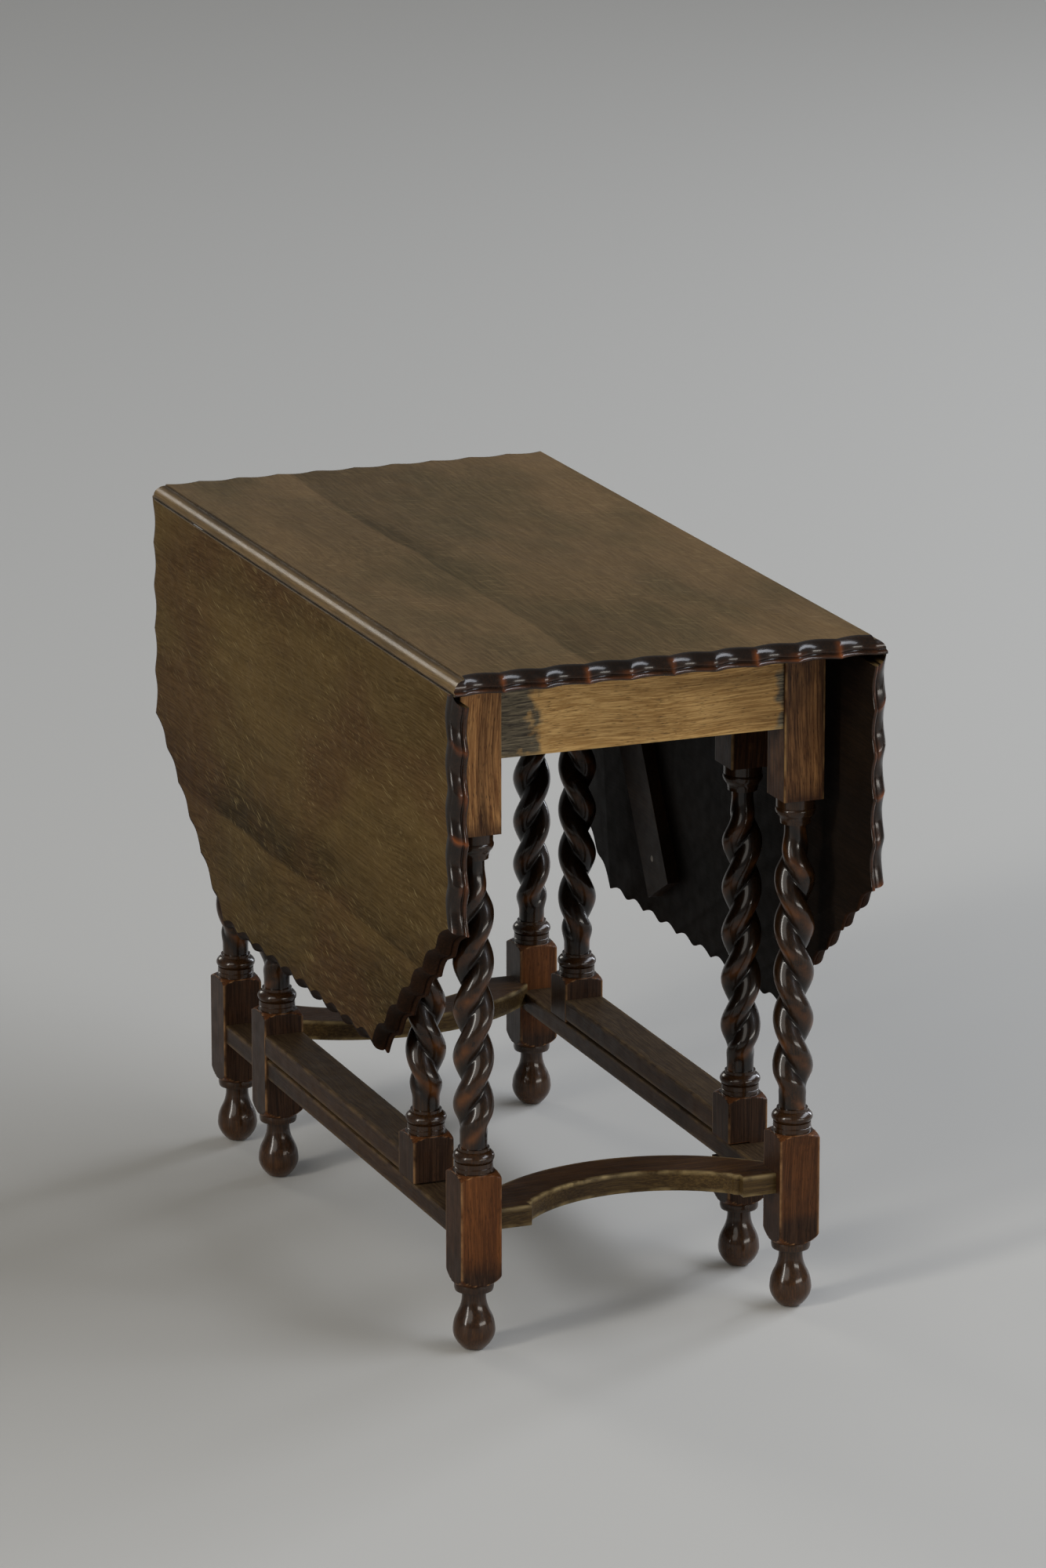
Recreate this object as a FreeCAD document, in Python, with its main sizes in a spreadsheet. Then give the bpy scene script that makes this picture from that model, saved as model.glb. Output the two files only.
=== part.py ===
import FreeCAD, Part

import math
import os
from types import SimpleNamespace

import Sketcher

# A gateleg drop-leaf table: a fixed top with two hanging leaves on rule joints, four
# double-twist legs tied by aprons, rails and stretchers, and two swinging gates.
# X runs across the table from leaf to leaf, Y along it, Z up, with the origin on the
# floor under the middle of the top. Lengths are in millimetres.

DRIVING_SIZES = {
    # Top and leaves
    "table_height": 735.0,
    "board_thickness": 18.0,
    "fixed_top_width": 441.0,
    "top_length": 926.0,
    "leaf_width": 436.0,
    "leaf_cant_along": 228.0,
    "leaf_cant_across": 188.0,
    "rule_radius": 13.0,
    "rule_quirk": 3.0,
    "rule_clearance": 0.4,
    "rule_end_inset": 6.0,
    "rim_width": 14.0,
    "scallop_pitch": 46.0,
    "scallop_depth": 5.0,
    # Posts
    "post_square": 44.5,
    "leaf_leg_gap": 19.75,
    "top_overhang": 77.25,
    "leg_gate_gap": 91.0,
    "foot_base_radius": 9.5,
    "foot_radius": 21.7,
    "foot_widest_height": 24.0,
    "ankle_radius": 12.4,
    "ankle_height": 56.0,
    "ankle_length": 8.0,
    "foot_ring_radius": 20.5,
    "foot_ring_height": 8.0,
    "lower_block_bottom": 84.0,
    "lower_block_top": 186.5,
    "pommel_rise": 6.0,
    "collar_radius": 19.8,
    "collar_height": 9.5,
    "bead_radius": 21.4,
    "bead_height": 12.0,
    "fillet_radius": 16.2,
    "fillet_height": 3.0,
    "upper_fillet_radius": 15.6,
    "upper_fillet_height": 2.5,
    "upper_bead_radius": 20.9,
    "upper_bead_height": 15.5,
    "upper_collar_radius": 20.2,
    "upper_collar_height": 10.0,
    "upper_block_bottom": 550.0,
    "core_radius": 7.0,
    # Double twist
    "strand_radius": 13.3,
    "strand_offset": 7.7,
    "twist_half_pitch": 50.0,
    "twist_lower_neck_radius": 14.1,
    "twist_upper_neck_radius": 11.4,
    "twist_lower_neck": 10.0,
    "twist_lower_runout": 28.0,
    "twist_upper_neck": 8.0,
    "twist_upper_runout": 46.0,
    # Aprons, rails and stretchers
    "apron_height": 90.0,
    "apron_thickness": 20.0,
    "apron_setback": 4.0,
    "side_rail_height": 42.0,
    "side_rail_thickness": 21.5,
    "side_rail_reach": 6.5,
    "end_stretcher_bottom": 128.0,
    "end_stretcher_thickness": 22.0,
    "end_stretcher_hollow": 43.0,
    "end_stretcher_width": 52.0,
    "end_stretcher_tab": 37.0,
    "end_stretcher_tab_setback": 11.0,
    "end_stretcher_return": 9.0,
    "end_stretcher_cove": 6.0,
    "side_stretcher_bottom": 120.0,
    "side_stretcher_thickness": 21.0,
    "side_stretcher_width": 40.0,
    "tenon_length": 16.0,
    "tenon_shoulder": 6.0,
    "stretcher_shoulder": 7.0,
    "joint_clearance": 0.1,
    # Gates
    "gate_rail_gap": 5.0,
    "gate_rail_thickness": 23.0,
    "gate_rail_width": 44.0,
    "gate_upper_rail_height": 43.0,
    "gate_upper_rail_thickness": 22.0,
    "gate_running_gap": 2.5,
    "gate_lap_clearance": 2.0,
    "gate_top_gap": 1.5,
    "pivot_radius": 3.5,
    "pivot_held": 20.0,
    "pivot_bite": 11.0,
    "pivot_clearance": 0.08,
    # Stops under the leaves
    "stop_width": 62.0,
    "stop_thickness": 14.0,
    "stop_length": 235.0,
    "stop_angle": 29.0,
    "stop_edge_margin": 46.0,
    "stop_end_along": 64.0,
    "stop_screw_margin": 36.0,
    # Hinges
    "hinge_end_inset": 153.0,
    "hinge_length": 40.0,
    "hinge_plate": 2.0,
    "hinge_fixed_width": 32.0,
    "hinge_leaf_width": 46.0,
    "knuckle_radius": 3.2,
    "knuckle_length": 13.0,
    "knuckle_gap": 0.3,
    "hinge_pin_radius": 1.6,
    "hinge_pin_clearance": 0.08,
    "hinge_recess_clearance": 0.3,
    "hinge_screw_spread": 22.0,
    "hinge_screw_margin": 9.0,
    # Screws and glides
    "screw_head_radius": 3.4,
    "screw_head_height": 1.8,
    "screw_shank_radius": 1.6,
    "hinge_screw_length": 13.0,
    "stop_screw_length": 24.0,
    "top_screw_length": 36.0,
    "top_screw_counterbore": 18.0,
    "top_screw_spacing": 150.0,
    "screw_clearance": 0.1,
    "glide_radius": 6.5,
    "glide_height": 1.8,
    "glide_shank_radius": 1.3,
    "glide_shank_length": 12.0,
    "overrun": 1.0,
}

# Moulded rim, from the show face down: depth through the board and step back from the lip
RIM_DEPTH_SHARES = (0.0, 0.13, 0.60, 0.74, 1.0)
RIM_INSET_SHARES = (1.0, 0.93, 0.36, 0.0, 0.07)

# Twist surface: points round and along each half turn, and how soft its crease is
TWIST_POINTS_ROUND = 28
TWIST_ROWS_PER_HALF_TURN = 10
TWIST_CREASE_SHARE = 0.22
TWIST_PHASE_DEGREES = 174.0

# Mid points of the turned curves, as shares of the curve's width and height
FOOT_LOWER_SHARES = (0.66, 0.36)
FOOT_UPPER_SHARES = (0.42, 0.50)
POMMEL_SHARES = (0.55, 0.62)
BEAD_MID_SHARE = 0.55
UPPER_BEAD_SHARES = (0.80, 0.45)

# Flat bottom of a glide and the height of its edge
GLIDE_FLAT_SHARE = 0.62
GLIDE_EDGE_SHARE = 0.6

DOC = FreeCAD.newDocument("gateleg_table")


class Size:
    """A length and the sheet expression that it comes from."""

    def __init__(self, value, text):
        self.value = float(value)
        self.text = text

    def joined(self, sign, other, value):
        """This size and another joined by an operator."""
        return Size(value, "(%s %s %s)" % (self.text, sign, as_size(other).text))

    def __add__(self, other):
        return self.joined("+", other, self.value + as_size(other).value)

    def __sub__(self, other):
        return self.joined("-", other, self.value - as_size(other).value)

    def __mul__(self, other):
        return self.joined("*", other, self.value * as_size(other).value)

    def __truediv__(self, other):
        return self.joined("/", other, self.value / as_size(other).value)

    def __neg__(self):
        return self * -1


def as_size(number):
    """A plain number as a size of its own."""
    if isinstance(number, Size):
        return number
    return Size(number, "(%r)" % float(number))


def make_sheet():
    """Write the driving sizes into the sheet and return them by name."""
    sheet = DOC.addObject("Spreadsheet::Sheet", "Sizes")
    for row, (alias, value) in enumerate(DRIVING_SIZES.items(), start=1):
        sheet.set("A%d" % row, alias)
        sheet.set("B%d" % row, str(value))
        sheet.setAlias("B%d" % row, alias)
    DOC.recompute()
    names = {alias: Size(sheet.get(alias), "Sizes." + alias) for alias in DRIVING_SIZES}
    return SimpleNamespace(**names)


dim = make_sheet()
ZERO = Size(0.0, "0")

# Levels and places that several pieces share
underside = dim.table_height - dim.board_thickness
hinge_x = dim.fixed_top_width / 2
hinge_z = dim.table_height - dim.rule_radius - dim.rule_quirk
leaf_face_x = hinge_x + dim.rule_radius + dim.rule_quirk
leaf_back_x = leaf_face_x - dim.board_thickness
half_post = dim.post_square / 2
post_diagonal = dim.post_square * math.sqrt(0.5)
leg_x = leaf_back_x - dim.leaf_leg_gap - half_post
leg_y = dim.top_length / 2 - dim.top_overhang - half_post
gate_y = leg_y - dim.post_square - dim.leg_gate_gap
hinge_y = dim.top_length / 2 - dim.hinge_end_inset
side_stretcher_top = dim.side_stretcher_bottom + dim.side_stretcher_thickness
gate_rail_bottom = side_stretcher_top + dim.gate_rail_gap
stile_bottom = side_stretcher_top + dim.gate_running_gap
side_rail_bottom = underside - dim.side_rail_height
gate_top = side_rail_bottom - dim.gate_running_gap
collar_top = dim.lower_block_top + dim.pommel_rise + dim.collar_height
bead_top = collar_top + dim.bead_height
twist_bottom = bead_top + dim.fillet_height
upper_bead_top = dim.upper_block_bottom - dim.upper_collar_height
upper_fillet_top = upper_bead_top - dim.upper_bead_height
twist_top = upper_fillet_top - dim.upper_fillet_height

SIDES = (("left", -1), ("right", 1))
ENDS = (("front", -1), ("back", 1))
AXES = ("x", "y", "z")
TURNS = {
    "x": FreeCAD.Rotation(FreeCAD.Vector(0, 1, 0), 90),
    "y": FreeCAD.Rotation(FreeCAD.Vector(1, 0, 0), -90),
    "z": FreeCAD.Rotation(),
}

nodes = []


def bind(thing, **sizes):
    """Bind properties of an object to sheet expressions."""
    for name, size in sizes.items():
        thing.setExpression(name, size.text)


def place(thing, base, turn=None):
    """Bind an object's place to three sizes, with an optional fixed rotation."""
    spot = FreeCAD.Vector(*[size.value for size in base])
    thing.Placement = FreeCAD.Placement(spot, turn or FreeCAD.Rotation())
    for axis, size in zip(AXES, base):
        thing.setExpression("Placement.Base." + axis, size.text)


def block(name, centre, span):
    """A box by its centre and its three sizes."""
    box = DOC.addObject("Part::Box", name)
    bind(box, Length=span[0], Width=span[1], Height=span[2])
    place(box, [middle - size / 2 for middle, size in zip(centre, span)])
    return box


def rod(name, start, radius, length, axis="z"):
    """A cylinder from its start point along one axis."""
    cylinder = DOC.addObject("Part::Cylinder", name)
    bind(cylinder, Radius=radius, Height=length)
    place(cylinder, start, TURNS[axis])
    return cylinder


def fuse(name, pieces):
    """One solid of several touching ones."""
    union = DOC.addObject("Part::MultiFuse", name)
    union.Shapes = pieces
    union.Refine = True
    return union


def cut(name, base, tools):
    """A solid less one or more tools."""
    result = DOC.addObject("Part::Cut", name)
    result.Base = base
    result.Tool = tools[0] if len(tools) == 1 else group(name + "_tools", tools)
    return result


def group(name, pieces):
    """Separate solids kept together."""
    compound = DOC.addObject("Part::Compound", name)
    compound.Links = pieces
    return compound


def placed(name, source, base, turn=None):
    """Another copy of a master piece at its own place."""
    link = DOC.addObject("App::Link", name)
    link.LinkedObject = source
    spot = FreeCAD.Vector(*[size.value for size in base])
    link.Placement = FreeCAD.Placement(spot, turn or FreeCAD.Rotation())
    for axis, size in zip(AXES, base):
        link.setExpression("Placement.Base." + axis, size.text)
    return link


def node(label, thing):
    """Keep an object as a finished sub-part under its node name."""
    thing.Label = label
    nodes.append(thing)
    return thing


def grown(span, clearance):
    """A span with clearance on both sides of each size."""
    return [size + clearance * 2 for size in span]


def origin_plane(body, role):
    """One of a body's own origin planes."""
    return [plane for plane in body.Origin.OriginFeatures if plane.Role == role][0]


def profile_sketch(body, name, role, steps, level=None):
    """A closed profile of lines and three-point arcs, each point bound to sizes."""
    sketch = body.newObject("Sketcher::SketchObject", name)
    sketch.AttachmentSupport = (origin_plane(body, role), [""])
    sketch.MapMode = "FlatFace"
    if level is not None:
        sketch.setExpression("AttachmentOffset.Base.z", level.text)

    def vector(point):
        return FreeCAD.Vector(point[0].value, point[1].value, 0)

    def pin(geometry, corner, point):
        for kind, size in zip(("DistanceX", "DistanceY"), point):
            number = sketch.addConstraint(
                Sketcher.Constraint(kind, -1, 1, geometry, corner, size.value))
            sketch.setExpression("Constraints[%d]" % number, size.text)

    last = steps[-1][-1]
    edges = []
    for step in steps:
        point = step[-1]
        if len(step) == 1:
            edge = sketch.addGeometry(Part.LineSegment(vector(last), vector(point)))
            edges.append((edge, 1, 2))
        else:
            run, lean = vector(point) - vector(last), vector(step[0]) - vector(last)
            forward = run.x * lean.y - run.y * lean.x < 0
            first, second = (last, point) if forward else (point, last)
            edge = sketch.addGeometry(Part.Arc(vector(first), vector(step[0]), vector(second)))
            edges.append((edge, 1, 2) if forward else (edge, 2, 1))
            spot = sketch.addGeometry(Part.Point(vector(step[0])), True)
            sketch.addConstraint(Sketcher.Constraint("PointOnObject", spot, 1, edge))
            pin(spot, 1, step[0])
        last = point
    for index, step in enumerate(steps):
        edge, _, end = edges[index]
        following, start, _ = edges[(index + 1) % len(edges)]
        sketch.addConstraint(Sketcher.Constraint("Coincident", edge, end, following, start))
        pin(edge, end, step[-1])
    return sketch


def between(start, end, shares):
    """A point at given shares of the way from one point to another."""
    return tuple(low + (high - low) * share for low, high, share in zip(start, end, shares))


def turned_body(name, steps):
    """A solid turned about the post's own axis from a half profile."""
    body = DOC.addObject("PartDesign::Body", name)
    sketch = profile_sketch(body, name + "_profile", "XZ_Plane", steps)
    turn = body.newObject("PartDesign::Revolution", name + "_turn")
    turn.Profile = sketch
    turn.ReferenceAxis = (sketch, ["V_Axis"])
    turn.Angle = 360
    body.Tip = turn
    return body


def foot_steps():
    """Half profile of the pear foot, ankle and ring, up to the lower block."""
    base = (dim.foot_base_radius, dim.glide_height)
    belly = (dim.foot_radius, dim.foot_widest_height)
    ankle = (dim.ankle_radius, dim.ankle_height)
    ankle_top = dim.ankle_height + dim.ankle_length
    ring_top = ankle_top + dim.foot_ring_height
    ring = (dim.foot_ring_radius, ring_top)
    corner = (post_diagonal, dim.lower_block_bottom)
    return [
        ((ZERO, dim.glide_height),),
        (base,),
        (between(base, belly, FOOT_LOWER_SHARES), belly),
        (between(belly, ankle, FOOT_UPPER_SHARES), ankle),
        ((dim.ankle_radius, ankle_top),),
        ((dim.foot_ring_radius, ankle_top),),
        (ring,),
        (between(ring, corner, POMMEL_SHARES), corner),
    ]


def upper_steps(head):
    """Half profile from the lower block's top to the head of the post."""
    corner = (post_diagonal, dim.lower_block_top)
    collar_foot = (dim.collar_radius, dim.lower_block_top + dim.pommel_rise)
    bead = (dim.fillet_radius, bead_top)
    collar_head = (dim.collar_radius, collar_top)
    bead_mid = (dim.bead_radius, collar_top + dim.bead_height * BEAD_MID_SHARE)
    upper_fillet = (dim.upper_fillet_radius, upper_fillet_top)
    upper_bead = (dim.upper_collar_radius, upper_bead_top)
    wide = (dim.upper_bead_radius, upper_bead_top)
    return [
        (corner,),
        (between(collar_foot, corner, POMMEL_SHARES), collar_foot),
        (collar_head,),
        (bead_mid, bead),
        ((dim.fillet_radius, twist_bottom),),
        ((dim.core_radius, twist_bottom),),
        ((dim.core_radius, twist_top),),
        ((dim.upper_fillet_radius, twist_top),),
        (upper_fillet,),
        (between(upper_fillet, wide, UPPER_BEAD_SHARES), upper_bead),
        ((dim.upper_collar_radius, dim.upper_block_bottom),),
        ((post_diagonal, dim.upper_block_bottom),),
        ((post_diagonal, head),),
        ((ZERO, head),),
    ]


def ease(share):
    """A smooth step from 0 to 1."""
    share = min(max(share, 0.0), 1.0)
    return share * share * (3.0 - 2.0 * share)


def twist_radius(angle, offset, strand):
    """Radius of two round strands side by side, seen at an angle from their line."""
    crease = TWIST_CREASE_SHARE
    reach = math.sqrt(math.cos(angle) ** 2 + crease ** 2 * math.sin(angle) ** 2)
    return offset * reach + math.sqrt(strand ** 2 - (offset * math.sin(angle)) ** 2)


def twist_shape():
    """The right-hand double twist as one smooth surface closed by flat ends."""
    bottom, top = twist_bottom.value, twist_top.value
    rows = int(math.ceil((top - bottom) / dim.twist_half_pitch.value * TWIST_ROWS_PER_HALF_TURN))
    grid = []
    for row in range(rows + 1):
        height = bottom + (top - bottom) * row / rows
        rise = ease((height - bottom - dim.twist_lower_neck.value) / dim.twist_lower_runout.value)
        fall = ease((top - height - dim.twist_upper_neck.value) / dim.twist_upper_runout.value)
        strand = dim.strand_radius.value
        strand += (dim.twist_lower_neck_radius.value - strand) * (1.0 - rise)
        strand += (dim.twist_upper_neck_radius.value - strand) * (1.0 - fall)
        offset = dim.strand_offset.value * rise * fall
        phase = math.radians(TWIST_PHASE_DEGREES)
        phase += math.pi * (height - bottom) / dim.twist_half_pitch.value
        ring = []
        for column in range(TWIST_POINTS_ROUND):
            angle = 2.0 * math.pi * column / TWIST_POINTS_ROUND
            radius = twist_radius(angle, offset, strand)
            turn = angle + phase
            ring.append(FreeCAD.Vector(radius * math.cos(turn), radius * math.sin(turn), height))
        grid.append(ring + ring[:1])
    surface = Part.BSplineSurface()
    surface.interpolate(grid)
    side = surface.toShape()
    closed = [edge for edge in side.Edges if edge.isClosed()]
    caps = [Part.Face(Part.Wire([edge])) for edge in closed]
    shell = Part.Shell([side] + caps)
    shell.sewShape()
    solid = Part.Solid(shell)
    if solid.Volume < 0:
        solid.reverse()
    return solid


def make_twists():
    """The right-hand twist and its mirror image."""
    right = DOC.addObject("Part::Feature", "twist_right_hand")
    right.Shape = twist_shape()
    left = DOC.addObject("Part::Mirroring", "twist_left_hand")
    left.Source = right
    left.Base = FreeCAD.Vector(0, 0, 0)
    left.Normal = FreeCAD.Vector(0, 1, 0)
    return {"right": right, "left": left}


def make_post(name, steps, low, high, twist):
    """A square post turned between its blocks and carved with a twist."""
    turning = turned_body(name + "_turning", steps)
    height = high - low
    stock = block(name + "_stock", (ZERO, ZERO, low + height / 2),
                  (dim.post_square, dim.post_square, height))
    squared = DOC.addObject("Part::Common", name + "_squared")
    squared.Base = stock
    squared.Tool = turning
    post = fuse(name, [squared, twist])
    post.Refine = False
    return post


def make_posts():
    """Master posts: whole legs of both hands and the shorter gate stile."""
    twists = make_twists()
    stile_foot = [((ZERO, stile_bottom),), ((post_diagonal, stile_bottom),)]
    legs = {}
    for hand, twist in twists.items():
        steps = foot_steps() + upper_steps(underside)
        legs[hand] = make_post("leg_" + hand + "_hand", steps, dim.glide_height, underside, twist)
    stile_steps = stile_foot + upper_steps(gate_top)
    legs["stile"] = make_post("stile_master", stile_steps, stile_bottom, gate_top, twists["left"])
    return legs


def rim_outline(corners, scalloped, inset):
    """A closed outline in a plane, with scallops cut along the marked sides.

    Sides step back by the inset, and each scalloped side keeps its own count of hollows.
    """
    count = len(corners)
    lines = []
    for index in range(count):
        start, end = corners[index], corners[(index + 1) % count]
        run = end - start
        normal = FreeCAD.Vector(-run.y, run.x, 0).normalize()
        shift = normal * inset if scalloped[index] else FreeCAD.Vector()
        lines.append((start + shift, run, normal))
    points = []
    for index in range(count):
        before, run_before, _ = lines[index - 1]
        here, run_here, _ = lines[index]
        cross = run_before.x * run_here.y - run_before.y * run_here.x
        gap = here - before
        along = (gap.x * run_here.y - gap.y * run_here.x) / cross
        points.append(before + run_before * along)
    edges = []
    for index in range(count):
        start, end = points[index], points[(index + 1) % count]
        if not scalloped[index]:
            edges.append(Part.LineSegment(start, end).toShape())
            continue
        outer = corners[index].distanceToPoint(corners[(index + 1) % count])
        hollows = max(1, int(round(outer / dim.scallop_pitch.value)))
        normal = lines[index][2]
        for number in range(hollows):
            low = start + (end - start) * (number / hollows)
            high = start + (end - start) * ((number + 1) / hollows)
            middle = (low + high) * 0.5 + normal * dim.scallop_depth.value
            edges.append(Part.Arc(low, middle, high).toShape())
    return Part.Wire(edges)


def moulded_board(corners, scalloped):
    """A board lying face up whose scalloped sides carry the moulded rim."""
    wires = []
    for depth, step in zip(RIM_DEPTH_SHARES, RIM_INSET_SHARES):
        wire = rim_outline(corners, scalloped, dim.rim_width.value * step)
        wire.translate(FreeCAD.Vector(0, 0, -dim.board_thickness.value * depth))
        wires.append(wire)
    return Part.makeLoft(wires[::-1], True, True)


def leaf_board():
    """Half-octagon leaf lying open, its hinge edge on the Y axis and its face up."""
    half = dim.top_length.value / 2
    width = dim.leaf_width.value
    cant_along = dim.leaf_cant_along.value
    cant_across = dim.leaf_cant_across.value
    edge = dim.rule_clearance.value
    outline = [
        (edge, -half),
        (width - cant_across, -half),
        (width, -half + cant_along),
        (width, half - cant_along),
        (width - cant_across, half),
        (edge, half),
    ]
    corners = [FreeCAD.Vector(x, y, 0) for x, y in outline]
    return moulded_board(corners, (True, True, True, True, True, False))


def top_panel():
    """Fixed top between the quirks of its rule joints, with a moulded rim at both ends."""
    half_width = hinge_x.value
    half_length = dim.top_length.value / 2
    outline = [(-1, -1), (1, -1), (1, 1), (-1, 1)]
    corners = [FreeCAD.Vector(x * half_width, y * half_length, 0) for x, y in outline]
    return moulded_board(corners, (True, False, True, False))


def hinge_middles():
    """Places of the three hinges along a joint."""
    return (-hinge_y, ZERO, hinge_y)


def screw(name, seat, length, axis, toward, clearance=ZERO):
    """A countersunk wood screw whose head lies flush with its seat and points one way."""
    cone = DOC.addObject("Part::Cone", name + "_head")
    bind(cone, Radius1=dim.screw_head_radius + clearance, Radius2=dim.screw_shank_radius + clearance,
         Height=dim.screw_head_height)
    shank = DOC.addObject("Part::Cylinder", name + "_shank")
    bind(shank, Radius=dim.screw_shank_radius + clearance, Height=length)
    turn = TURNS[axis]
    if toward < 0:
        flip = FreeCAD.Rotation(FreeCAD.Vector(0, 0, 1), 180)
        flip = FreeCAD.Rotation(FreeCAD.Vector(0, 1, 0), 180) if axis != "y" else flip
        turn = flip.multiply(turn)
    place(cone, seat, turn)
    place(shank, seat, turn)
    return fuse(name, [cone, shank])


def hinge_screw_places(side, plate):
    """Seats of the screws of one plate of each hinge, and the way that they point."""
    seats = []
    for middle in hinge_middles():
        for way in (-1, 1):
            along = middle + dim.hinge_screw_spread / 2 * way
            if plate == "fixed":
                across = (hinge_x - dim.hinge_fixed_width + dim.hinge_screw_margin) * side
                seats.append(((across, along, underside), "z", 1))
            else:
                drop = hinge_z - dim.hinge_leaf_width + dim.hinge_screw_margin
                seats.append(((leaf_back_x * side, along, drop), "x", side))
    return seats


def stop_screw_places(side):
    """Seats of the two screws of a leaf's stop, along the stop's middle line."""
    seats = []
    centre = stop_centre(side)
    angle = math.radians(dim.stop_angle.value)
    for way in (-1, 1):
        reach = (dim.stop_length / 2 - dim.stop_screw_margin) * way
        along = centre[1] + reach * math.sin(angle) * side
        up = centre[2] + reach * math.cos(angle)
        seats.append((((leaf_back_x - dim.stop_thickness) * side, along, up), "x", side))
    return seats


def stop_centre(side):
    """Middle of a leaf's stop, a straight batten slanted along the open gate."""
    angle = math.radians(dim.stop_angle.value)
    across = (leaf_back_x - dim.stop_thickness / 2) * side
    along = (dim.stop_end_along + dim.stop_length / 2 * math.sin(angle)) * side
    foot = hinge_z - dim.leaf_width + dim.stop_edge_margin
    up = foot + dim.stop_length / 2 * math.cos(angle)
    return (across, along, up)


def top_screw_places():
    """Seats of the screws that hold the top down, inside the side rails."""
    seats = []
    level = side_rail_bottom + dim.top_screw_counterbore
    for _, side in SIDES:
        across = rail_middle(side)
        for way in (-1, 0, 1):
            seats.append(((across, dim.top_screw_spacing * way, level), "z", 1))
    return seats


def rail_middle(side):
    """Middle of a side rail across the table."""
    return (leg_x + dim.side_rail_reach - dim.side_rail_thickness / 2) * side


def screw_group(label, places, length):
    """All screws of one kind on one body, as separate solids of one node."""
    screws = []
    for number, (seat, axis, toward) in enumerate(places):
        screws.append(screw("%s_%d" % (label, number), seat, length, axis, toward))
    return node(label, group(label, screws))


def screw_holes(label, places, length):
    """Cutting tools for the holes of a group of screws."""
    tools = []
    for number, (seat, axis, toward) in enumerate(places):
        name = "%s_hole_%d" % (label, number)
        tools.append(screw(name, seat, length, axis, toward, dim.screw_clearance))
    return tools


def hinge_recess_tools(side):
    """Recesses in the top for the plates and knuckles of one rule joint."""
    tools = []
    slack = dim.hinge_recess_clearance
    length = dim.hinge_length + slack * 2
    inner = dim.hinge_fixed_width + slack
    outer = dim.rule_radius + dim.overrun
    depth = dim.hinge_plate + slack + dim.overrun
    for number, middle in enumerate(hinge_middles()):
        name = "top_recess_%s_%d" % ("left" if side < 0 else "right", number)
        across = (hinge_x + (outer - inner) / 2) * side
        level = underside - dim.overrun + depth / 2
        tools.append(block(name, (across, middle, level), (inner + outer, length, depth)))
        start = (hinge_x * side, middle - length / 2, hinge_z)
        tools.append(rod(name + "_barrel", start, dim.knuckle_radius + slack, length, "y"))
    return tools


def make_top():
    """Fixed top: moulded panel, a rounded rule-joint edge on each side, hinge recesses."""
    panel = DOC.addObject("Part::Feature", "top_panel")
    panel.Shape = top_panel()
    place(panel, (ZERO, ZERO, dim.table_height))
    pieces = [panel]
    tools = []
    radius = dim.rule_radius - dim.rule_clearance
    length = dim.top_length - dim.rule_end_inset * 2
    for name, side in SIDES:
        start = (hinge_x * side, -length / 2, hinge_z)
        round_edge = rod("rule_round_" + name, start, radius, length, "y")
        half = block("rule_keep_" + name, ((hinge_x + radius / 2) * side, ZERO, hinge_z + radius / 2),
                     (radius, length, radius))
        quarter = DOC.addObject("Part::Common", "rule_quarter_" + name)
        quarter.Base = round_edge
        quarter.Tool = half
        depth = hinge_z - underside
        foot = block("rule_foot_" + name, ((hinge_x + radius / 2) * side, ZERO, underside + depth / 2),
                     (radius, length, depth))
        pieces += [quarter, foot]
        tools += hinge_recess_tools(side)
        tools += screw_holes("hinge_top_" + name, hinge_screw_places(side, "fixed"),
                             dim.hinge_screw_length)
    tools += screw_holes("top_screw", top_screw_places(), dim.top_screw_length)
    node("top_board", cut("top_board", fuse("top_whole", pieces), tools))


def make_leaf(name, side):
    """A hanging leaf with its hollow rule-joint edge and plate recesses."""
    board = DOC.addObject("Part::Feature", "leaf_board_" + name)
    board.Shape = leaf_board()
    turn = FreeCAD.Rotation(FreeCAD.Vector(0, 1, 0), 90)
    if side < 0:
        turn = FreeCAD.Rotation(FreeCAD.Vector(0, 0, 1), 180).multiply(turn)
    place(board, (leaf_face_x * side, ZERO, hinge_z), turn)
    length = dim.top_length + dim.overrun * 2
    start = (hinge_x * side, -length / 2, hinge_z)
    tools = [rod("leaf_hollow_" + name, start, dim.rule_radius, length, "y")]
    slack = dim.hinge_recess_clearance
    depth = dim.hinge_plate + slack + dim.overrun
    height = dim.hinge_leaf_width + slack
    for number, middle in enumerate(hinge_middles()):
        centre = ((leaf_back_x - dim.overrun + depth / 2) * side, middle, hinge_z - height / 2)
        span = (depth, dim.hinge_length + slack * 2, height)
        tools.append(block("leaf_recess_%s_%d" % (name, number), centre, span))
    tools += screw_holes("hinge_leaf_" + name, hinge_screw_places(side, "leaf"),
                         dim.hinge_screw_length)
    tools += screw_holes("leaf_stop_" + name, stop_screw_places(side), dim.stop_screw_length)
    node("leaf_" + name, cut("leaf_" + name, board, tools))


def make_stop(name, side):
    """The slanted batten under a leaf that stops its gate."""
    batten = DOC.addObject("Part::Box", "stop_batten_" + name)
    bind(batten, Length=dim.stop_thickness, Width=dim.stop_width, Height=dim.stop_length)
    centre = stop_centre(side)
    turn = FreeCAD.Rotation(FreeCAD.Vector(-side, 0, 0), dim.stop_angle.value)
    corner = FreeCAD.Vector(-dim.stop_thickness.value / 2, -dim.stop_width.value / 2,
                            -dim.stop_length.value / 2)
    middle = FreeCAD.Vector(*[size.value for size in centre])
    batten.Placement = FreeCAD.Placement(middle + turn.multVec(corner), turn)
    tools = screw_holes("stop_" + name, stop_screw_places(side), dim.stop_screw_length)
    node("leaf_stop_" + name, cut("leaf_stop_" + name, batten, tools))


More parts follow.
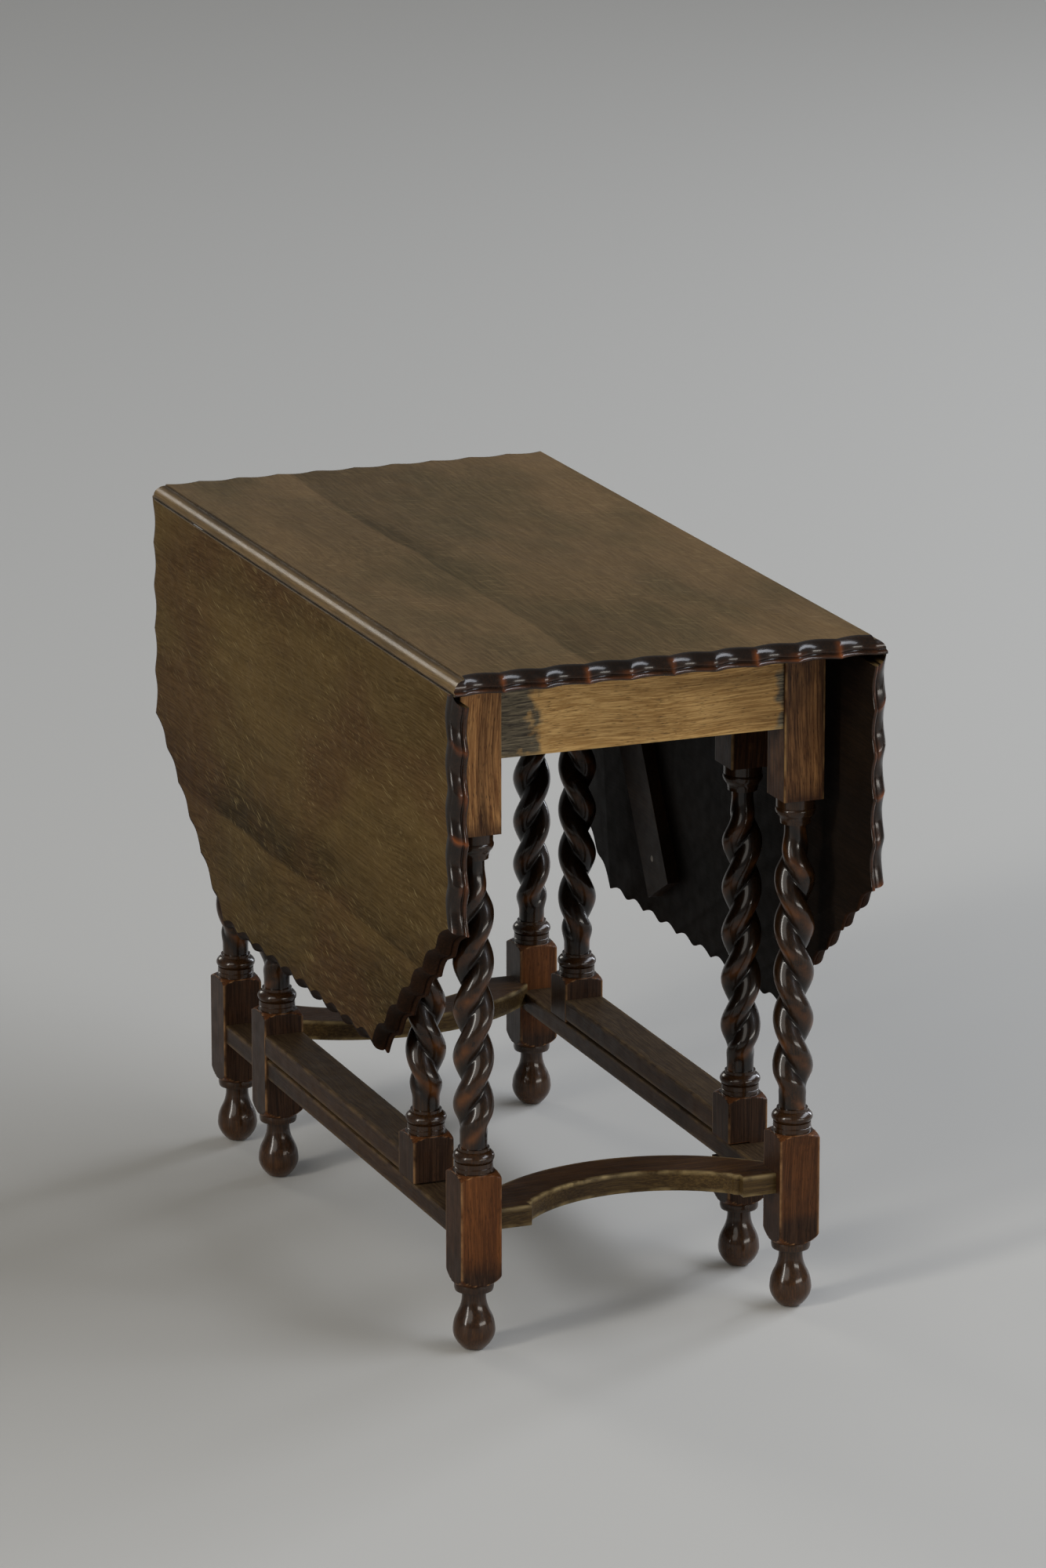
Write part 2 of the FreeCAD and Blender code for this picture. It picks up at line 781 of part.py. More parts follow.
def knuckle_band(label, middle, low, high, side, bore):
    """A hinge knuckle between two places along its pin, with its bore tool."""
    length = high - low
    start = (hinge_x * side, middle + low, hinge_z)
    return (rod(label, start, dim.knuckle_radius, length, "y"),
            rod(label + "_bore", start, bore, length, "y"))


def make_hinges(name, side):
    """Plates, knuckles, pins and screws of the three hinges of one rule joint."""
    half = dim.hinge_length / 2
    inner = dim.knuckle_length / 2
    gap = dim.knuckle_gap
    clear = dim.knuckle_radius + gap
    fixed, moving, pins = [], [], []
    for number, middle in enumerate(hinge_middles()):
        tag = "%s_%d" % (name, number)
        bands = [(-half, -inner - gap), (inner + gap, half)]
        bore = dim.hinge_pin_radius + dim.joint_clearance
        knuckles = [knuckle_band("fixed_knuckle_%s_%d" % (tag, index), middle, low, high, side, bore)
                    for index, (low, high) in enumerate(bands)]
        width = dim.hinge_fixed_width - clear
        level = underside + dim.hinge_plate / 2
        plate = block("fixed_plate_" + tag, ((hinge_x - clear - width / 2) * side, middle, level),
                      (width, dim.hinge_length, dim.hinge_plate))
        ears = [block("fixed_ear_%s_%d" % (tag, index),
                      ((hinge_x - clear / 2) * side, middle + (low + high) / 2, level),
                      (clear, high - low, dim.hinge_plate))
                for index, (low, high) in enumerate(bands)]
        solid = fuse("fixed_half_" + tag, [plate] + ears + [knuckle for knuckle, _ in knuckles])
        fixed.append(cut("fixed_hinge_" + tag, solid, [bore for _, bore in knuckles]))

        loose = dim.hinge_pin_radius + dim.hinge_pin_clearance
        knuckle, bore = knuckle_band("leaf_knuckle_" + tag, middle, -inner, inner, side, loose)
        drop = dim.hinge_leaf_width - clear
        depth = (leaf_back_x + dim.hinge_plate / 2) * side
        plate = block("leaf_plate_" + tag, (depth, middle, hinge_z - clear - drop / 2),
                      (dim.hinge_plate, dim.hinge_length, drop))
        ear = block("leaf_ear_" + tag, (depth, middle, hinge_z - clear / 2),
                    (dim.hinge_plate, dim.knuckle_length, clear))
        moving.append(cut("leaf_hinge_" + tag, fuse("leaf_half_" + tag, [plate, ear, knuckle]), [bore]))
        start = (hinge_x * side, middle - half, hinge_z)
        pins.append(rod("hinge_pin_" + tag, start, dim.hinge_pin_radius, dim.hinge_length, "y"))

    fixed_places = hinge_screw_places(side, "fixed")
    leaf_places = hinge_screw_places(side, "leaf")
    fixed_holes = screw_holes("fixed_plates_" + name, fixed_places, dim.hinge_screw_length)
    leaf_holes = screw_holes("leaf_plates_" + name, leaf_places, dim.hinge_screw_length)
    fixed_label = "hinge_top_plates_" + name
    leaf_label = "hinge_leaf_plates_" + name
    node(fixed_label, cut(fixed_label, group("fixed_hinges_" + name, fixed), fixed_holes))
    node(leaf_label, cut(leaf_label, group("leaf_hinges_" + name, moving), leaf_holes))
    node("hinge_pins_" + name, group("hinge_pins_" + name, pins))
    screw_group("hinge_top_screws_" + name, fixed_places, dim.hinge_screw_length)
    screw_group("hinge_leaf_screws_" + name, leaf_places, dim.hinge_screw_length)
    screw_group("leaf_stop_screws_" + name, stop_screw_places(side), dim.stop_screw_length)


def tenon(name, face, span, axis, toward, clearance=ZERO):
    """A tenon from the middle of its shoulder face into a post, or its mortise."""
    reach = dim.tenon_length + clearance
    sizes = grown(span, clearance)
    sizes[AXES.index(axis)] = reach
    centre = list(face)
    centre[AXES.index(axis)] = face[AXES.index(axis)] + reach / 2 * toward
    return block(name, centre, sizes)


def thinned(size, shoulder=dim.tenon_shoulder):
    """Thickness of a tenon behind its two shoulders."""
    return size - shoulder * 2


def apron_joint(side, end):
    """Shoulder face and section of the tenon at one end of an apron."""
    across = (leg_x - half_post) * side
    along = (leg_y + half_post - dim.apron_setback - dim.apron_thickness / 2) * end
    level = underside - dim.apron_height / 2
    return (across, along, level), (ZERO, thinned(dim.apron_thickness), thinned(dim.apron_height))


def side_rail_joint(side, end):
    """Shoulder face and section of the tenon at one end of a side rail."""
    level = underside - dim.side_rail_height / 2
    face = (rail_middle(side), (leg_y - half_post) * end, level)
    return face, (thinned(dim.side_rail_thickness), ZERO, thinned(dim.side_rail_height))


def end_stretcher_joint(side, end):
    """Shoulder face and section of the tenon at one end of a curved stretcher."""
    across = (leg_x - half_post) * side
    level = dim.end_stretcher_bottom + dim.end_stretcher_thickness / 2
    thickness = thinned(dim.end_stretcher_thickness, dim.stretcher_shoulder)
    return (across, leg_y * end, level), (ZERO, thinned(dim.post_square), thickness)


def side_stretcher_joint(side, end):
    """Shoulder face and section of the tenon at one end of a side stretcher."""
    level = dim.side_stretcher_bottom + dim.side_stretcher_thickness / 2
    face = (leg_x * side, (leg_y - half_post) * end, level)
    thickness = thinned(dim.side_stretcher_thickness, dim.stretcher_shoulder)
    return face, (thinned(dim.side_stretcher_width), ZERO, thickness)


def glide_hole(name, spot):
    """Hole for the shank of a foot's glide."""
    start = (spot[0], spot[1], dim.glide_height - dim.overrun)
    length = dim.glide_shank_length + dim.overrun
    return rod(name, start, dim.glide_shank_radius + dim.joint_clearance, length)


def make_legs(masters):
    """The four fixed legs with their mortises."""
    for end_name, end in ENDS:
        for side_name, side in SIDES:
            label = "leg_%s_%s" % (end_name, side_name)
            hand = "right" if side == end else "left"
            spot = (leg_x * side, leg_y * end, ZERO)
            post = placed(label + "_post", masters[hand], spot)
            joints = [
                (apron_joint(side, end), "x", side),
                (end_stretcher_joint(side, end), "x", side),
                (side_rail_joint(side, end), "y", end),
                (side_stretcher_joint(side, end), "y", end),
            ]
            tools = [glide_hole(label + "_glide_hole", spot)]
            for number, ((face, span), axis, toward) in enumerate(joints):
                tools.append(tenon("%s_mortise_%d" % (label, number), face, span, axis, toward,
                                   dim.joint_clearance))
            node(label, cut(label, post, tools))


def make_aprons():
    """Front and back aprons with a tenon at each end."""
    for name, end in ENDS:
        label = "apron_" + name
        length = (leg_x - half_post) * 2
        middle = apron_joint(1, end)[0]
        pieces = [block(label + "_board", (ZERO, middle[1], middle[2]),
                        (length, dim.apron_thickness, dim.apron_height))]
        for side_name, side in SIDES:
            face, span = apron_joint(side, end)
            pieces.append(tenon(label + "_tenon_" + side_name, face, span, "x", side))
        node(label, fuse(label, pieces))


def pivot_place(side):
    """Axis of a gate: the left gate hangs at the front, the right one at the back."""
    return (leg_x * side, gate_y * side)


def make_side_rails():
    """Side rails under the top, with holes for the top's screws and the gate's pivot."""
    for name, side in SIDES:
        label = "side_rail_" + name
        length = (leg_y - half_post) * 2
        centre = (rail_middle(side), ZERO, underside - dim.side_rail_height / 2)
        pieces = [block(label + "_board", centre,
                        (dim.side_rail_thickness, length, dim.side_rail_height))]
        for end_name, end in ENDS:
            face, span = side_rail_joint(side, end)
            pieces.append(tenon(label + "_tenon_" + end_name, face, span, "y", end))
        across, along = pivot_place(side)
        tools = [rod(label + "_pivot_hole", (across, along, side_rail_bottom - dim.overrun),
                     dim.pivot_radius + dim.pivot_clearance,
                     dim.pivot_bite + dim.pivot_clearance + dim.overrun)]
        places = [spot for spot in top_screw_places() if spot[0][0].value * side > 0]
        tools += screw_holes(label, places, dim.top_screw_length)
        for number, (seat, _, _) in enumerate(places):
            start = (seat[0], seat[1], side_rail_bottom - dim.overrun)
            tools.append(rod("%s_counterbore_%d" % (label, number), start,
                             dim.screw_head_radius + dim.joint_clearance,
                             dim.top_screw_counterbore + dim.overrun))
        node(label, cut(label, fuse(label + "_whole", pieces), tools))


def end_stretcher_outline(end):
    """Plan of a curved stretcher: square tabs, a small cove, then two arcs about one centre."""
    rise = dim.end_stretcher_hollow
    reach = leg_x - half_post
    tab = reach - dim.end_stretcher_tab
    start = tab - dim.end_stretcher_cove
    tab_y = leg_y + half_post - dim.end_stretcher_tab_setback
    cove_y = tab_y - dim.end_stretcher_return
    arc_y = cove_y - dim.end_stretcher_cove
    hollow = (start * start + rise * rise) / (rise * 2)
    back = hollow + dim.end_stretcher_width
    centre = arc_y - rise + hollow
    height = math.sqrt(back.value ** 2 - reach.value ** 2)
    back_y = centre - Size(height, "sqrt(%s ^ 2 - %s ^ 2)" % (back.text, reach.text))
    bend = 1 - math.sqrt(0.5)
    cove_mid_x = tab - dim.end_stretcher_cove * bend
    cove_mid_y = arc_y + dim.end_stretcher_cove * bend
    points = [
        ((reach, tab_y),),
        ((tab, tab_y),),
        ((tab, cove_y),),
        ((cove_mid_x, cove_mid_y), (start, arc_y)),
        ((ZERO, centre - hollow), (-start, arc_y)),
        ((-cove_mid_x, cove_mid_y), (-tab, cove_y)),
        ((-tab, tab_y),),
        ((-reach, tab_y),),
        ((-reach, back_y),),
        ((ZERO, centre - back), (reach, back_y)),
    ]
    return [tuple((x, y * end) for x, y in step) for step in points]


def make_end_stretchers():
    """Curved stretchers between the legs of each end."""
    for name, end in ENDS:
        label = "stretcher_" + name
        body = DOC.addObject("PartDesign::Body", label + "_body")
        sketch = profile_sketch(body, label + "_plan", "XY_Plane", end_stretcher_outline(end),
                                dim.end_stretcher_bottom)
        pad = body.newObject("PartDesign::Pad", label + "_pad")
        pad.Profile = sketch
        bind(pad, Length=dim.end_stretcher_thickness)
        body.Tip = pad
        pieces = [body]
        for side_name, side in SIDES:
            face, span = end_stretcher_joint(side, end)
            pieces.append(tenon(label + "_tenon_" + side_name, face, span, "x", side))
        node(label, fuse(label, pieces))


def make_side_stretchers():
    """Straight stretchers along the sides, lapped where a gate's leg closes on them."""
    for name, side in SIDES:
        label = "stretcher_" + name
        length = (leg_y - half_post) * 2
        level = dim.side_stretcher_bottom + dim.side_stretcher_thickness / 2
        pieces = [block(label + "_bar", (leg_x * side, ZERO, level),
                        (dim.side_stretcher_width, length, dim.side_stretcher_thickness))]
        for end_name, end in ENDS:
            face, span = side_stretcher_joint(side, end)
            pieces.append(tenon(label + "_tenon_" + end_name, face, span, "y", end))
        across, along = pivot_place(side)
        depth = dim.side_stretcher_width / 2 + dim.overrun
        lap = block(label + "_lap", ((leg_x + depth / 2) * side, -along, level),
                    (depth, dim.post_square + dim.gate_lap_clearance * 2,
                     dim.side_stretcher_thickness + dim.overrun * 2))
        depth = dim.pivot_bite + dim.pivot_clearance
        hole = rod(label + "_pivot_hole", (across, along, side_stretcher_top - depth),
                   dim.pivot_radius + dim.pivot_clearance, depth + dim.overrun)
        node(label, cut(label, fuse(label + "_whole", pieces), [lap, hole]))


def gate_rail_joint(side, upper):
    """Shoulder face and section of the tenon of a gate's rail in its leg."""
    along = (gate_y - half_post) * -side
    if upper:
        level = gate_top - dim.gate_upper_rail_height / 2
        return ((leg_x * side, along, level),
                (thinned(dim.gate_upper_rail_thickness), ZERO, thinned(dim.gate_upper_rail_height)))
    level = gate_rail_bottom + dim.gate_rail_thickness / 2
    return ((leg_x * side, along, level),
            (thinned(dim.gate_rail_width), ZERO, thinned(dim.gate_rail_thickness)))


def stile_rail_joint(side, upper):
    """Shoulder face and section of the tenon of a gate's rail in its stile."""
    face, span = gate_rail_joint(side, upper)
    return (face[0], (gate_y - half_post) * side, face[2]), span


def make_gate(name, side, masters):
    """A gate: its stile, its lapped leg, two rails and two pivots."""
    across, along = pivot_place(side)
    label = "gate_stile_" + name
    post = placed(label + "_post", masters["stile"], (across, along, ZERO))
    upper_seat = gate_top - dim.pivot_held
    lower_seat = stile_bottom + dim.pivot_held
    bore = dim.pivot_radius + dim.joint_clearance
    tools = [
        rod(label + "_upper_hole", (across, along, upper_seat), bore, dim.pivot_held + dim.overrun),
        rod(label + "_lower_hole", (across, along, stile_bottom - dim.overrun), bore,
            dim.pivot_held + dim.overrun),
    ]
    for tag, upper in (("lower", False), ("upper", True)):
        face, span = stile_rail_joint(side, upper)
        tools.append(tenon("%s_mortise_%s" % (label, tag), face, span, "y", side, dim.joint_clearance))
    node(label, cut(label, post, tools))

    label = "gate_leg_" + name
    spot = (leg_x * side, gate_y * -side, ZERO)
    post = placed(label + "_post", masters["right"], spot)
    depth = half_post + dim.overrun
    lap_low = dim.side_stretcher_bottom - dim.gate_lap_clearance
    lap_high = side_stretcher_top + dim.gate_lap_clearance
    lap_x = leg_x + dim.gate_lap_clearance / 2 - depth / 2
    lap = block(label + "_lap", (lap_x * side, spot[1], (lap_low + lap_high) / 2),
                (depth + dim.gate_lap_clearance, dim.post_square + dim.overrun * 2, lap_high - lap_low))
    rail_face = leg_x + dim.side_rail_reach + dim.gate_lap_clearance / 2
    keep = leg_x + half_post - rail_face
    slot_width = dim.post_square - keep + dim.overrun
    slot_height = underside - gate_top + dim.overrun
    slot = block(label + "_slot",
                 ((rail_face - slot_width / 2) * side, spot[1], gate_top + slot_height / 2),
                 (slot_width, dim.post_square + dim.overrun * 2, slot_height))
    trim_height = dim.gate_top_gap + dim.overrun
    trim = block(label + "_trim", (spot[0], spot[1], underside - dim.gate_top_gap + trim_height / 2),
                 (dim.post_square + dim.overrun * 2, dim.post_square + dim.overrun * 2, trim_height))
    tools = [lap, slot, trim, glide_hole(label + "_glide_hole", spot)]
    for tag, upper in (("lower", False), ("upper", True)):
        face, span = gate_rail_joint(side, upper)
        tools.append(tenon("%s_mortise_%s" % (label, tag), face, span, "y", -side, dim.joint_clearance))
    node(label, cut(label, post, tools))

    length = (gate_y - half_post) * 2
    for tag, upper, sizes in (
        ("lower", False, (dim.gate_rail_width, length, dim.gate_rail_thickness)),
        ("upper", True, (dim.gate_upper_rail_thickness, length, dim.gate_upper_rail_height)),
    ):
        label = "gate_%s_rail_%s" % (tag, name)
        leg_face, span = gate_rail_joint(side, upper)
        stile_face, _ = stile_rail_joint(side, upper)
        pieces = [
            block(label + "_bar", (across, ZERO, leg_face[2]), sizes),
            tenon(label + "_tenon_leg", leg_face, span, "y", -side),
            tenon(label + "_tenon_stile", stile_face, span, "y", side),
        ]
        node(label, fuse(label, pieces))

    label = "gate_pivots_" + name
    low = side_stretcher_top - dim.pivot_bite
    pins = [
        rod(label + "_upper", (across, along, upper_seat), dim.pivot_radius,
            side_rail_bottom + dim.pivot_bite - upper_seat),
        rod(label + "_lower", (across, along, low), dim.pivot_radius, lower_seat - low),
    ]
    node(label, group(label, pins))


def make_glide_master():
    """A nail glide: a low flat-bottomed head under the foot and a shank in it."""
    edge = (dim.glide_radius, dim.glide_height * GLIDE_EDGE_SHARE)
    flat = (dim.glide_radius * GLIDE_FLAT_SHARE, ZERO)
    head = dim.glide_height + dim.glide_shank_length - dim.joint_clearance
    steps = [
        ((ZERO, ZERO),),
        (flat,),
        (edge,),
        ((dim.glide_radius, dim.glide_height),),
        ((dim.glide_shank_radius, dim.glide_height),),
        ((dim.glide_shank_radius, head),),
        ((ZERO, head),),
    ]
    return turned_body("glide_master", steps)


def make_glides():
    """Glides under the fixed legs in one node and under each gate's leg in its own."""
    master = make_glide_master()
    frame = []
    for end_name, end in ENDS:
        for side_name, side in SIDES:
            frame.append(placed("glide_%s_%s" % (end_name, side_name), master,
                                (leg_x * side, leg_y * end, ZERO)))
    node("foot_glides_frame", group("foot_glides_frame", frame))
    for name, side in SIDES:
        label = "foot_glide_gate_" + name
        glide = placed(label + "_copy", master, (leg_x * side, gate_y * -side, ZERO))
        node(label, group(label, [glide]))


def check_document():
    """Stop if any object failed or any sub-part is empty or invalid."""
    DOC.recompute()
    for thing in DOC.Objects:
        if "Invalid" in thing.State or "Error" in thing.State:
            raise RuntimeError("%s failed: %s" % (thing.Name, thing.State))
    for thing in nodes:
        if thing.Shape.isNull() or not thing.Shape.isValid():
            raise RuntimeError("%s has no valid shape" % thing.Label)


def export_parts():
    """Write each sub-part to its own file."""
    os.makedirs("parts", exist_ok=True)
    for thing in nodes:
        thing.Shape.exportStep(os.path.join("parts", thing.Label + ".step"))
        print(thing.Label, len(thing.Shape.Solids), "solids", round(thing.Shape.Volume), "mm3")


def main():
    """Build every sub-part, check the document and write the files."""
    masters = make_posts()
    make_top()
    make_legs(masters)
    make_aprons()
    make_side_rails()
    make_end_stretchers()
    make_side_stretchers()
    for name, side in SIDES:
        make_leaf(name, side)
        make_stop(name, side)
        make_hinges(name, side)
        make_gate(name, side, masters)
    screw_group("top_screws", top_screw_places(), dim.top_screw_length)
    make_glides()
    check_document()
    export_parts()


main()
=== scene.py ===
"""Drop-leaf gateleg table in stained oak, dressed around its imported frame.

The classes hold their sizes in millimetres, and a mesh becomes metres where it is put into Blender. X runs
across the table from leaf to leaf, Y along it and Z up; the near end is at negative Y.
"""

import logging
import math
from collections.abc import Sequence
from dataclasses import dataclass, field
from enum import Enum
from functools import partial
from typing import ClassVar

import bmesh
import bpy
import numpy as np
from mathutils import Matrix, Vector

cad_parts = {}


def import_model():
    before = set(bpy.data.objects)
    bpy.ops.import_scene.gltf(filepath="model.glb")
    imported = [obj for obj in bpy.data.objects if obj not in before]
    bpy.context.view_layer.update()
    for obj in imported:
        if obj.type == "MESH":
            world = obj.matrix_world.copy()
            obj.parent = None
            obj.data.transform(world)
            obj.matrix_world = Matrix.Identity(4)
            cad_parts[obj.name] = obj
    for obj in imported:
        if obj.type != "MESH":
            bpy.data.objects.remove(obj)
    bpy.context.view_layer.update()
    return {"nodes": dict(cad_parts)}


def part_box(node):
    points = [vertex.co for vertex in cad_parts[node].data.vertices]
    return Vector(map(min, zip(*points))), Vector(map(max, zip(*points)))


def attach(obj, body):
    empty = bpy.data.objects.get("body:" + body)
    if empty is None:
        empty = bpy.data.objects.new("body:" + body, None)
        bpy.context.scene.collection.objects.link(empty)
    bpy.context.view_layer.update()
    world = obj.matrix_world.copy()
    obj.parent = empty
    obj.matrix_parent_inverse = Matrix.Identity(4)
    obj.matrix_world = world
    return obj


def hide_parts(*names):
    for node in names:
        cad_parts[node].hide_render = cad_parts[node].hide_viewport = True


LOG = logging.getLogger("gateleg_table")
MM = 0.001
MARKS = ("wear", "grime", "tone")
# Edges that turn by more than this stay sharp.
SHARP_ANGLE = math.radians(38)
# Points closer than the first are merged, and slivers thinner than the second are removed.
MERGE_MM = 0.004
SLIVER_MM = 0.002

Socket = bpy.types.NodeSocket
Tree = bpy.types.NodeTree
Triple = tuple[float, float, float]
Range = tuple[float, float]


class Axis(Enum):
    """The way the grain of a piece runs."""

    ACROSS = 0
    ALONG = 1
    UP = 2


class Place(Enum):
    """A named place at the table."""

    @property
    def word(self) -> str:
        """Gives the place as the names of pieces spell it."""
        return self.name.lower()


class Side(Place):
    """A side of the table, as the sign of its X."""

    LEFT = -1
    RIGHT = 1


class End(Place):
    """An end of the table, as the sign of its Y."""

    FRONT = -1
    BACK = 1


class Hand(Enum):
    """The hand of a twist, as the sign of its turn on the way up."""

    LEFT = -1
    RIGHT = 1


def linear(code: str) -> tuple[float, float, float, float]:
    """Turns an sRGB hex colour into the linear colour that shaders use.

    Args:
        code: Six hex digits after a hash sign.

    Returns:
        Linear red, green, blue and an alpha of 1.
    """
    values = np.array([int(code[i:i + 2], 16) for i in (1, 3, 5)]) / 255
    light = np.where(values <= 0.04045, values / 12.92, ((values + 0.055) / 1.055) ** 2.4)
    return (*light.tolist(), 1.0)


def add_node(
    tree: Tree, kind: str, inputs: dict[str | int, object] | None = None, **settings: str
) -> bpy.types.Node:
    """Adds one node, with its settings, its constants and its links.

    Args:
        tree: The node tree that gets the node.
        kind: The node's type, without the word ShaderNode.
        inputs: Input name or number, to a socket that is linked or to a constant.
        settings: The node's own properties.

    Returns:
        The new node.
    """
    node = tree.nodes.new("ShaderNode" + kind)
    for name, value in settings.items():
        setattr(node, name, value)
    for key, value in (inputs or {}).items():
        if isinstance(value, Socket):
            tree.links.new(value, node.inputs[key])
        else:
            node.inputs[key].default_value = value
    return node


def new_material(name: str) -> tuple[bpy.types.Material, Tree, bpy.types.Node]:
    """Makes a node material that holds only its output.

    Args:
        name: The material's name.

    Returns:
        The material, its node tree and its output node.
    """
    material = bpy.data.materials.new(name)
    material.use_nodes = True
    material.node_tree.nodes.clear()
    return material, material.node_tree, add_node(material.node_tree, "OutputMaterial")


@dataclass(frozen=True)
class OakFinish:
    """Old oak, stained and waxed: board tones, straight grain, open pores, ray flecks, worn places and
    painted shade.

    The meshes mark where a finish changes: wear where the stain is rubbed through, painted shade where
    creases, quirks and the rule joint's gaps fall dark, and tone where the piece turns from its main stain to
    its second one, which on the posts' blocks is partly painted shade.
    """

    name: str
    deep: str
    middle: str
    light: str
    second: str
    second_light: str
    worn: str
    grain: Axis
    # Near-black, for the pores and for the painted shade in creases, quirks and gaps.
    dirt: str = "#0d0806"
    fleck: str = "#9c8760"
    fleck_amount: float = 0.0
    fleck_turn: Triple = (0.0, 0.0, 0.0)
    fleck_apart_mm: float = 4.4
    fleck_length_mm: float = 34.0
    grain_mm: float = 1.8
    grain_length_mm: float = 70.0
    grain_amount: float = 1.0
    board_mm: float = 60.0
    board_length_mm: float = 420.0
    # Glued boards, as places across the grain in mm and how light the stain is there.
    boards: tuple[Range, ...] = ()
    boards_across: Axis = Axis.ACROSS
    # How wide the change to the second stain is, and how ragged, as shares of the mark's own range.
    tone_width: float = 1.0
    tone_ragged: float = 0.0
    # The size of clouds of the second stain, on surfaces that have no marks for it.
    stain_mm: float = 0.0
    stain_amount: float = 0.6
    pore_mm: float = 0.9
    pore_length_mm: float = 9.0
    pore_amount: float = 0.5
    roughness: float = 0.34
    roughness_spread: float = 0.12
    coat: float = 0.0
    coat_roughness: float = 0.2
    relief_mm: float = 0.25
    specular: float = 0.12

    # The noise levels between which each pattern goes from none to full.
    board_levels: ClassVar[Range] = (0.36, 0.64)
    grain_levels: ClassVar[Range] = (0.40, 0.68)
    pore_levels: ClassVar[Range] = (0.60, 0.70)
    wear_levels: ClassVar[Range] = (0.35, 0.62)
    stain_levels: ClassVar[Range] = (0.44, 0.62)
    gloss_levels: ClassVar[Range] = (0.3, 0.7)
    drift_levels: ClassVar[Range] = (0.36, 0.64)
    # The distances from a cell's middle between which a fleck fades, as shares of the cell.
    stroke_fade: ClassVar[Range] = (0.1, 0.34)
    # How much of the light grain a dark board keeps, and how much of its own clouds a glued board shows.
    dark_grain_share: ClassVar[float] = 0.3
    board_cloud_share: ClassVar[float] = 0.3
    stain_stretch: ClassVar[float] = 2.2
    # How the grain and the flecks are bent: repeats per metre, octaves and reach in metres.
    grain_sway: ClassVar[Triple] = (6.0, 1.0, 0.02)
    fleck_sway: ClassVar[Triple] = (5.0, 0.0, 0.05)
    # Repeats per metre of the fine clouds and of the drifts of flecks.
    cloud_scale: ClassVar[float] = 55.0
    drift_scale: ClassVar[float] = 9.0
    relief_strength: ClassVar[float] = 0.35

    def scale(self, width_mm: float, length_mm: float) -> Triple:
        """Gives the repeats of a pattern that is drawn out along the grain.

        Args:
            width_mm: Its size across the grain.
            length_mm: Its size along the grain.

        Returns:
            Repeats per metre on X, Y and Z.
        """
        repeats = [1 / (width_mm * MM)] * 3
        repeats[self.grain.value] = 1 / (length_mm * MM)
        return tuple(repeats)

    def build(self) -> bpy.types.Material:
        """Makes the material.

        Returns:
            A material that layers board tone, grain, pores, flecks, wear and grime.
        """
        material, tree, output = new_material(self.name)
        add = partial(add_node, tree)
        place = add("TexCoord").outputs["Object"]
        swayed = self.swayed(tree, place, *self.grain_sway)
        cloud = add("TexNoise", {"Vector": place, "Scale": self.cloud_scale, "Detail": 4.0}).outputs["Fac"]
        marks = {key: add("Attribute", attribute_name=key).outputs["Fac"] for key in MARKS}
        board, grain, pore = self.patterns(tree, swayed)

        low, high = self.wear_levels
        patchy = add("MapRange", {0: cloud, 1: low, 2: high}).outputs[0]
        worn = add("Math", {0: marks["wear"], 1: patchy}, operation="MULTIPLY").outputs[0]
        lively = add("MapRange", {0: board, 3: self.dark_grain_share, 4: 1.0}).outputs[0]
        lighter = add("Math", {0: grain, 1: lively}, operation="MULTIPLY").outputs[0]
        second = add(
            "Mix", {0: grain, 6: linear(self.second), 7: linear(self.second_light)}, data_type="RGBA"
        ).outputs[2]
        layers = [
            (board, linear(self.middle)),
            (lighter, linear(self.light)),
            (self.second_share(tree, place, cloud, marks["tone"]), second),
        ]
        if self.fleck_amount:
            layers.append((self.flecks(tree, swayed), linear(self.fleck)))
        # The last layer paints shade into creases, quirks and gaps with the near-black colour.
        layers += [(pore, linear(self.dirt)), (worn, linear(self.worn)), (marks["grime"], linear(self.dirt))]
        colour = linear(self.deep)
        for share, upper in layers:
            colour = add("Mix", {0: share, 6: colour, 7: upper}, data_type="RGBA").outputs[2]

        low, high = self.gloss_levels
        half = self.roughness_spread / 2
        gloss = add(
            "MapRange", {0: cloud, 1: low, 2: high, 3: self.roughness - half, 4: self.roughness + half}
        ).outputs[0]
        height = add("Math", {0: grain, 1: pore}, operation="SUBTRACT").outputs[0]
        relief = add("Bump", {
            "Height": height, "Distance": self.relief_mm * MM, "Strength": self.relief_strength,
        }).outputs[0]
        shader = add("BsdfPrincipled", {
            "Base Color": colour, "Roughness": gloss, "Normal": relief, "IOR": 1.5,
            "Specular IOR Level": self.specular, "Coat Weight": self.coat,
            "Coat Roughness": self.coat_roughness,
        })
        tree.links.new(shader.outputs[0], output.inputs["Surface"])
        return material

    def swayed(self, tree: Tree, place: Socket, scale: float, detail: float, reach: float) -> Socket:
        """Bends straight coordinates by adding a smooth noise to them.

        Args:
            tree: The material's node tree.
            place: The straight coordinates.
            scale: The noise's repeats per metre.
            detail: The noise's octaves.
            reach: How far they move, in metres.

        Returns:
            The bent coordinates.
        """
        noise = add_node(tree, "TexNoise", {"Vector": place, "Scale": scale, "Detail": detail})
        return add_node(
            tree, "VectorMath", {0: noise.outputs["Color"], 1: (reach, reach, reach), 2: place},
            operation="MULTIPLY_ADD",
        ).outputs[0]

    def streaks(
        self, tree: Tree, place: Socket, size_mm: Range, detail: float, roughness: float = 0.6
    ) -> Socket:
        """Draws a noise that is drawn out along the grain.

        Args:
            tree: The material's node tree.
            place: The coordinates that it follows.
            size_mm: Its width and length.
            detail: Its octaves.
            roughness: How strong its finer octaves are.

        Returns:
            The noise.
        """
        stretched = add_node(tree, "Mapping", {"Vector": place, "Scale": self.scale(*size_mm)})
        return add_node(tree, "TexNoise", {
            "Vector": stretched.outputs[0], "Scale": 1.0, "Detail": detail, "Roughness": roughness,
        }).outputs["Fac"]

